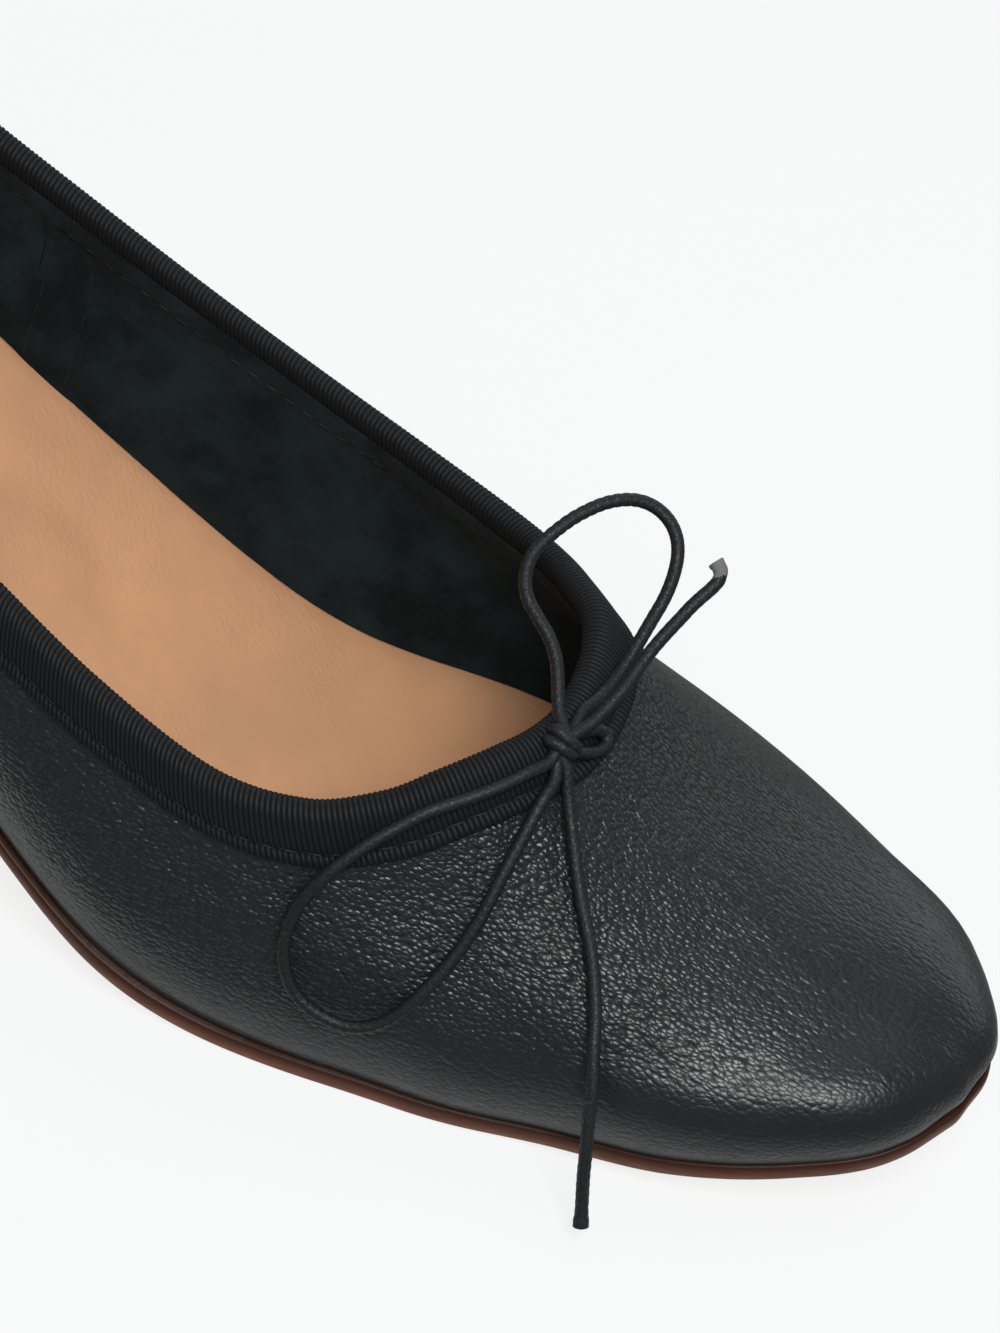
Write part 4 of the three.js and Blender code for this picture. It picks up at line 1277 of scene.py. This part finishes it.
class PumpSizes(bpy.types.PropertyGroup):
    rib_pitch: length_value("Rib pitch", "Distance from one rib of the ribbon to the next", 0.00067)
    rib_depth: length_value("Rib depth", "Height of the ribbon's ribs", 0.00026)
    stitch_down: length_value("Stitch line", "Distance of the seam below the topline", 0.0067)
    stitch_length: length_value("Stitch length", "Length of each stitch that shows", 0.0023)
    stitch_gap: length_value("Stitch gap", "Gap between one stitch and the next", 0.0005)
    thread_diameter: length_value("Thread diameter", "Thickness of the sewing thread", 0.00032)
    lining_thickness: length_value("Lining thickness", "Thickness of the suede lining", 0.0005)
    lining_top: length_value("Lining top", "How far below the topline the lining begins", 0.0024)
    lining_wave: length_value("Lining wave", "Depth of the lining's soft waves", 0.00018)
    tape_place: length_value("Seam tape place", "Where the seam tape meets the topline", 0.0945)
    tape_width: length_value("Seam tape width", "Width of the tape over the lining's seam", 0.008)
    pucker_pitch: length_value("Pucker pitch", "Distance between the throat's puckers", 0.0034)
    pucker_depth: length_value("Pucker depth", "Depth of the puckers below the ribbon", 0.00022)
    wave_depth: length_value("Leather wave", "Depth of the upper's slow unevenness", 0.00014)
    insole_hollow: length_value("Insole hollow", "How deep the insole is pressed in", 0.0007)
    dent_depth: length_value("Insole dent", "Depth of the soft dent in the insole", 0.0007)
    insole_wave: length_value("Insole wave", "Depth of the insole's soft unevenness", 0.00028)
    cord_diameter: length_value("Cord diameter", "Thickness of the bow's cord", 0.00172)
    braid_pitch: length_value("Braid pitch", "Length of one strand's step in the braid", 0.0012)
    foot_roll: length_value(
        "Foot of the upper", "How far the upper's foot rolls in over the sole's top", 0.0006)
    lasted_grain: plain_value(
        "Lasted grain", "Share of the grain left where the leather is stretched", 0.34, max=1)
    floor_glow: plain_value("Floor glow", "Light that the floor gives off", 0.87)
    under_glow: plain_value(
        "Glow by the shoe", "Light that the floor next to the shoe throws back at it", 0.54)
    far_glow: plain_value("Glow further off", "Light that the rest of the floor throws back", 0.1)
    surround_light: plain_value("Surround light", "Strength of the light from all around", 0.26)
    key_power: plain_value("Key power", "Power of the softbox in front", 5.0, unit="POWER")
    top_power: plain_value("Top power", "Power of the softbox above", 0.8, unit="POWER")
    far_power: plain_value("Far power", "Power of the card behind", 3.0, unit="POWER")


class PumpColors(bpy.types.PropertyGroup):
    leather: color_value("Leather", "The upper's leather", (0.0095, 0.0125, 0.0135))
    lining: color_value("Lining", "The suede lining", (0.0058, 0.0108, 0.0118))
    ribbon: color_value("Ribbon", "The ribbed binding", (0.0055, 0.0065, 0.0085))
    insole: color_value("Insole", "The tan insole leather", (0.7, 0.372, 0.198))
    sole_edge: color_value("Sole edge", "The burnished edge of the sole", (0.15, 0.046, 0.019))
    sole_bottom: color_value("Sole bottom", "The leather under the sole", (0.32, 0.15, 0.075))
    heel_rubber: color_value("Heel tip", "The heel's rubber top piece", (0.012, 0.012, 0.013))
    cord: color_value("Cord", "The bow's waxed cord", (0.008, 0.0095, 0.012))
    cord_core: color_value("Cord core", "The cord's cut ends", (0.2, 0.2, 0.205))
    floor: color_value("Floor", "The studio floor", (0.93, 0.94, 0.94))
    surround: color_value("Surround", "The light from all around", (1.0, 1.0, 1.0))


def built(context, build):
    """Runs a piece's build function with the scene's sizes and colours."""
    build(context.scene.pump_sizes, context.scene.pump_colors)
    return {"FINISHED"}


class PUMP_OT_stage(bpy.types.Operator):
    """Builds the pale floor, the soft lights and the camera"""

    bl_idname = "pump.stage"
    bl_label = "Stage"

    def execute(self, context):
        return built(context, build_stage)


class PUMP_OT_bow(bpy.types.Operator):
    """Braids the bow's cords and its knot"""

    bl_idname = "pump.bow"
    bl_label = "Cord bow"

    def execute(self, context):
        return built(context, build_bow)


class PUMP_OT_upper(bpy.types.Operator):
    """Builds the leather upper with its puckers at the throat"""

    bl_idname = "pump.upper"
    bl_label = "Leather upper"

    def execute(self, context):
        return built(context, build_upper)


class PUMP_OT_lining(bpy.types.Operator):
    """Builds the suede lining and the tape over its seam"""

    bl_idname = "pump.lining"
    bl_label = "Suede lining"

    def execute(self, context):
        return built(context, build_lining)


class PUMP_OT_binding(bpy.types.Operator):
    """Builds the ribbed ribbon around the topline and its stitches"""

    bl_idname = "pump.binding"
    bl_label = "Ribbed binding"

    def execute(self, context):
        return built(context, build_binding)


class PUMP_OT_insole(bpy.types.Operator):
    """Builds the tan insole"""

    bl_idname = "pump.insole"
    bl_label = "Insole"

    def execute(self, context):
        return built(context, build_insole)


class PUMP_OT_outsole(bpy.types.Operator):
    """Builds the leather sole with its burnished edge"""

    bl_idname = "pump.outsole"
    bl_label = "Leather sole"

    def execute(self, context):
        return built(context, build_outsole)


class PUMP_OT_heel(bpy.types.Operator):
    """Builds the covered heel and its rubber tip"""

    bl_idname = "pump.heel"
    bl_label = "Heel"

    def execute(self, context):
        return built(context, build_heel)


class PUMP_PT_panel(bpy.types.Panel):
    """Lists the pump's sizes, colours and pieces"""

    bl_idname = "PUMP_PT_panel"
    bl_label = "Kitten heel pump"
    bl_space_type = "VIEW_3D"
    bl_region_type = "UI"
    bl_category = "Pump"

    def draw(self, context):
        for group in (context.scene.pump_sizes, context.scene.pump_colors):
            column = self.layout.column()
            for name in group.__annotations__:
                column.prop(group, name)
        column = self.layout.column()
        for kind in OPERATORS:
            column.operator(kind.bl_idname)


OPERATORS = (
    PUMP_OT_stage,
    PUMP_OT_bow,
    PUMP_OT_upper,
    PUMP_OT_lining,
    PUMP_OT_binding,
    PUMP_OT_insole,
    PUMP_OT_outsole,
    PUMP_OT_heel,
)
CLASSES = (PumpSizes, PumpColors, *OPERATORS, PUMP_PT_panel)


def register():
    for kind in CLASSES:
        bpy.utils.register_class(kind)
    bpy.types.Scene.pump_sizes = bpy.props.PointerProperty(type=PumpSizes)
    bpy.types.Scene.pump_colors = bpy.props.PointerProperty(type=PumpColors)


def unregister():
    del bpy.types.Scene.pump_colors
    del bpy.types.Scene.pump_sizes
    for kind in reversed(CLASSES):
        bpy.utils.unregister_class(kind)


def main():
    register()
    bpy.ops.pump.stage()
    bpy.ops.pump.bow()
    bpy.ops.pump.upper()
    bpy.ops.pump.lining()
    bpy.ops.pump.binding()
    bpy.ops.pump.insole()
    bpy.ops.pump.outsole()
    bpy.ops.pump.heel()


if __name__ == "__main__":
    main()
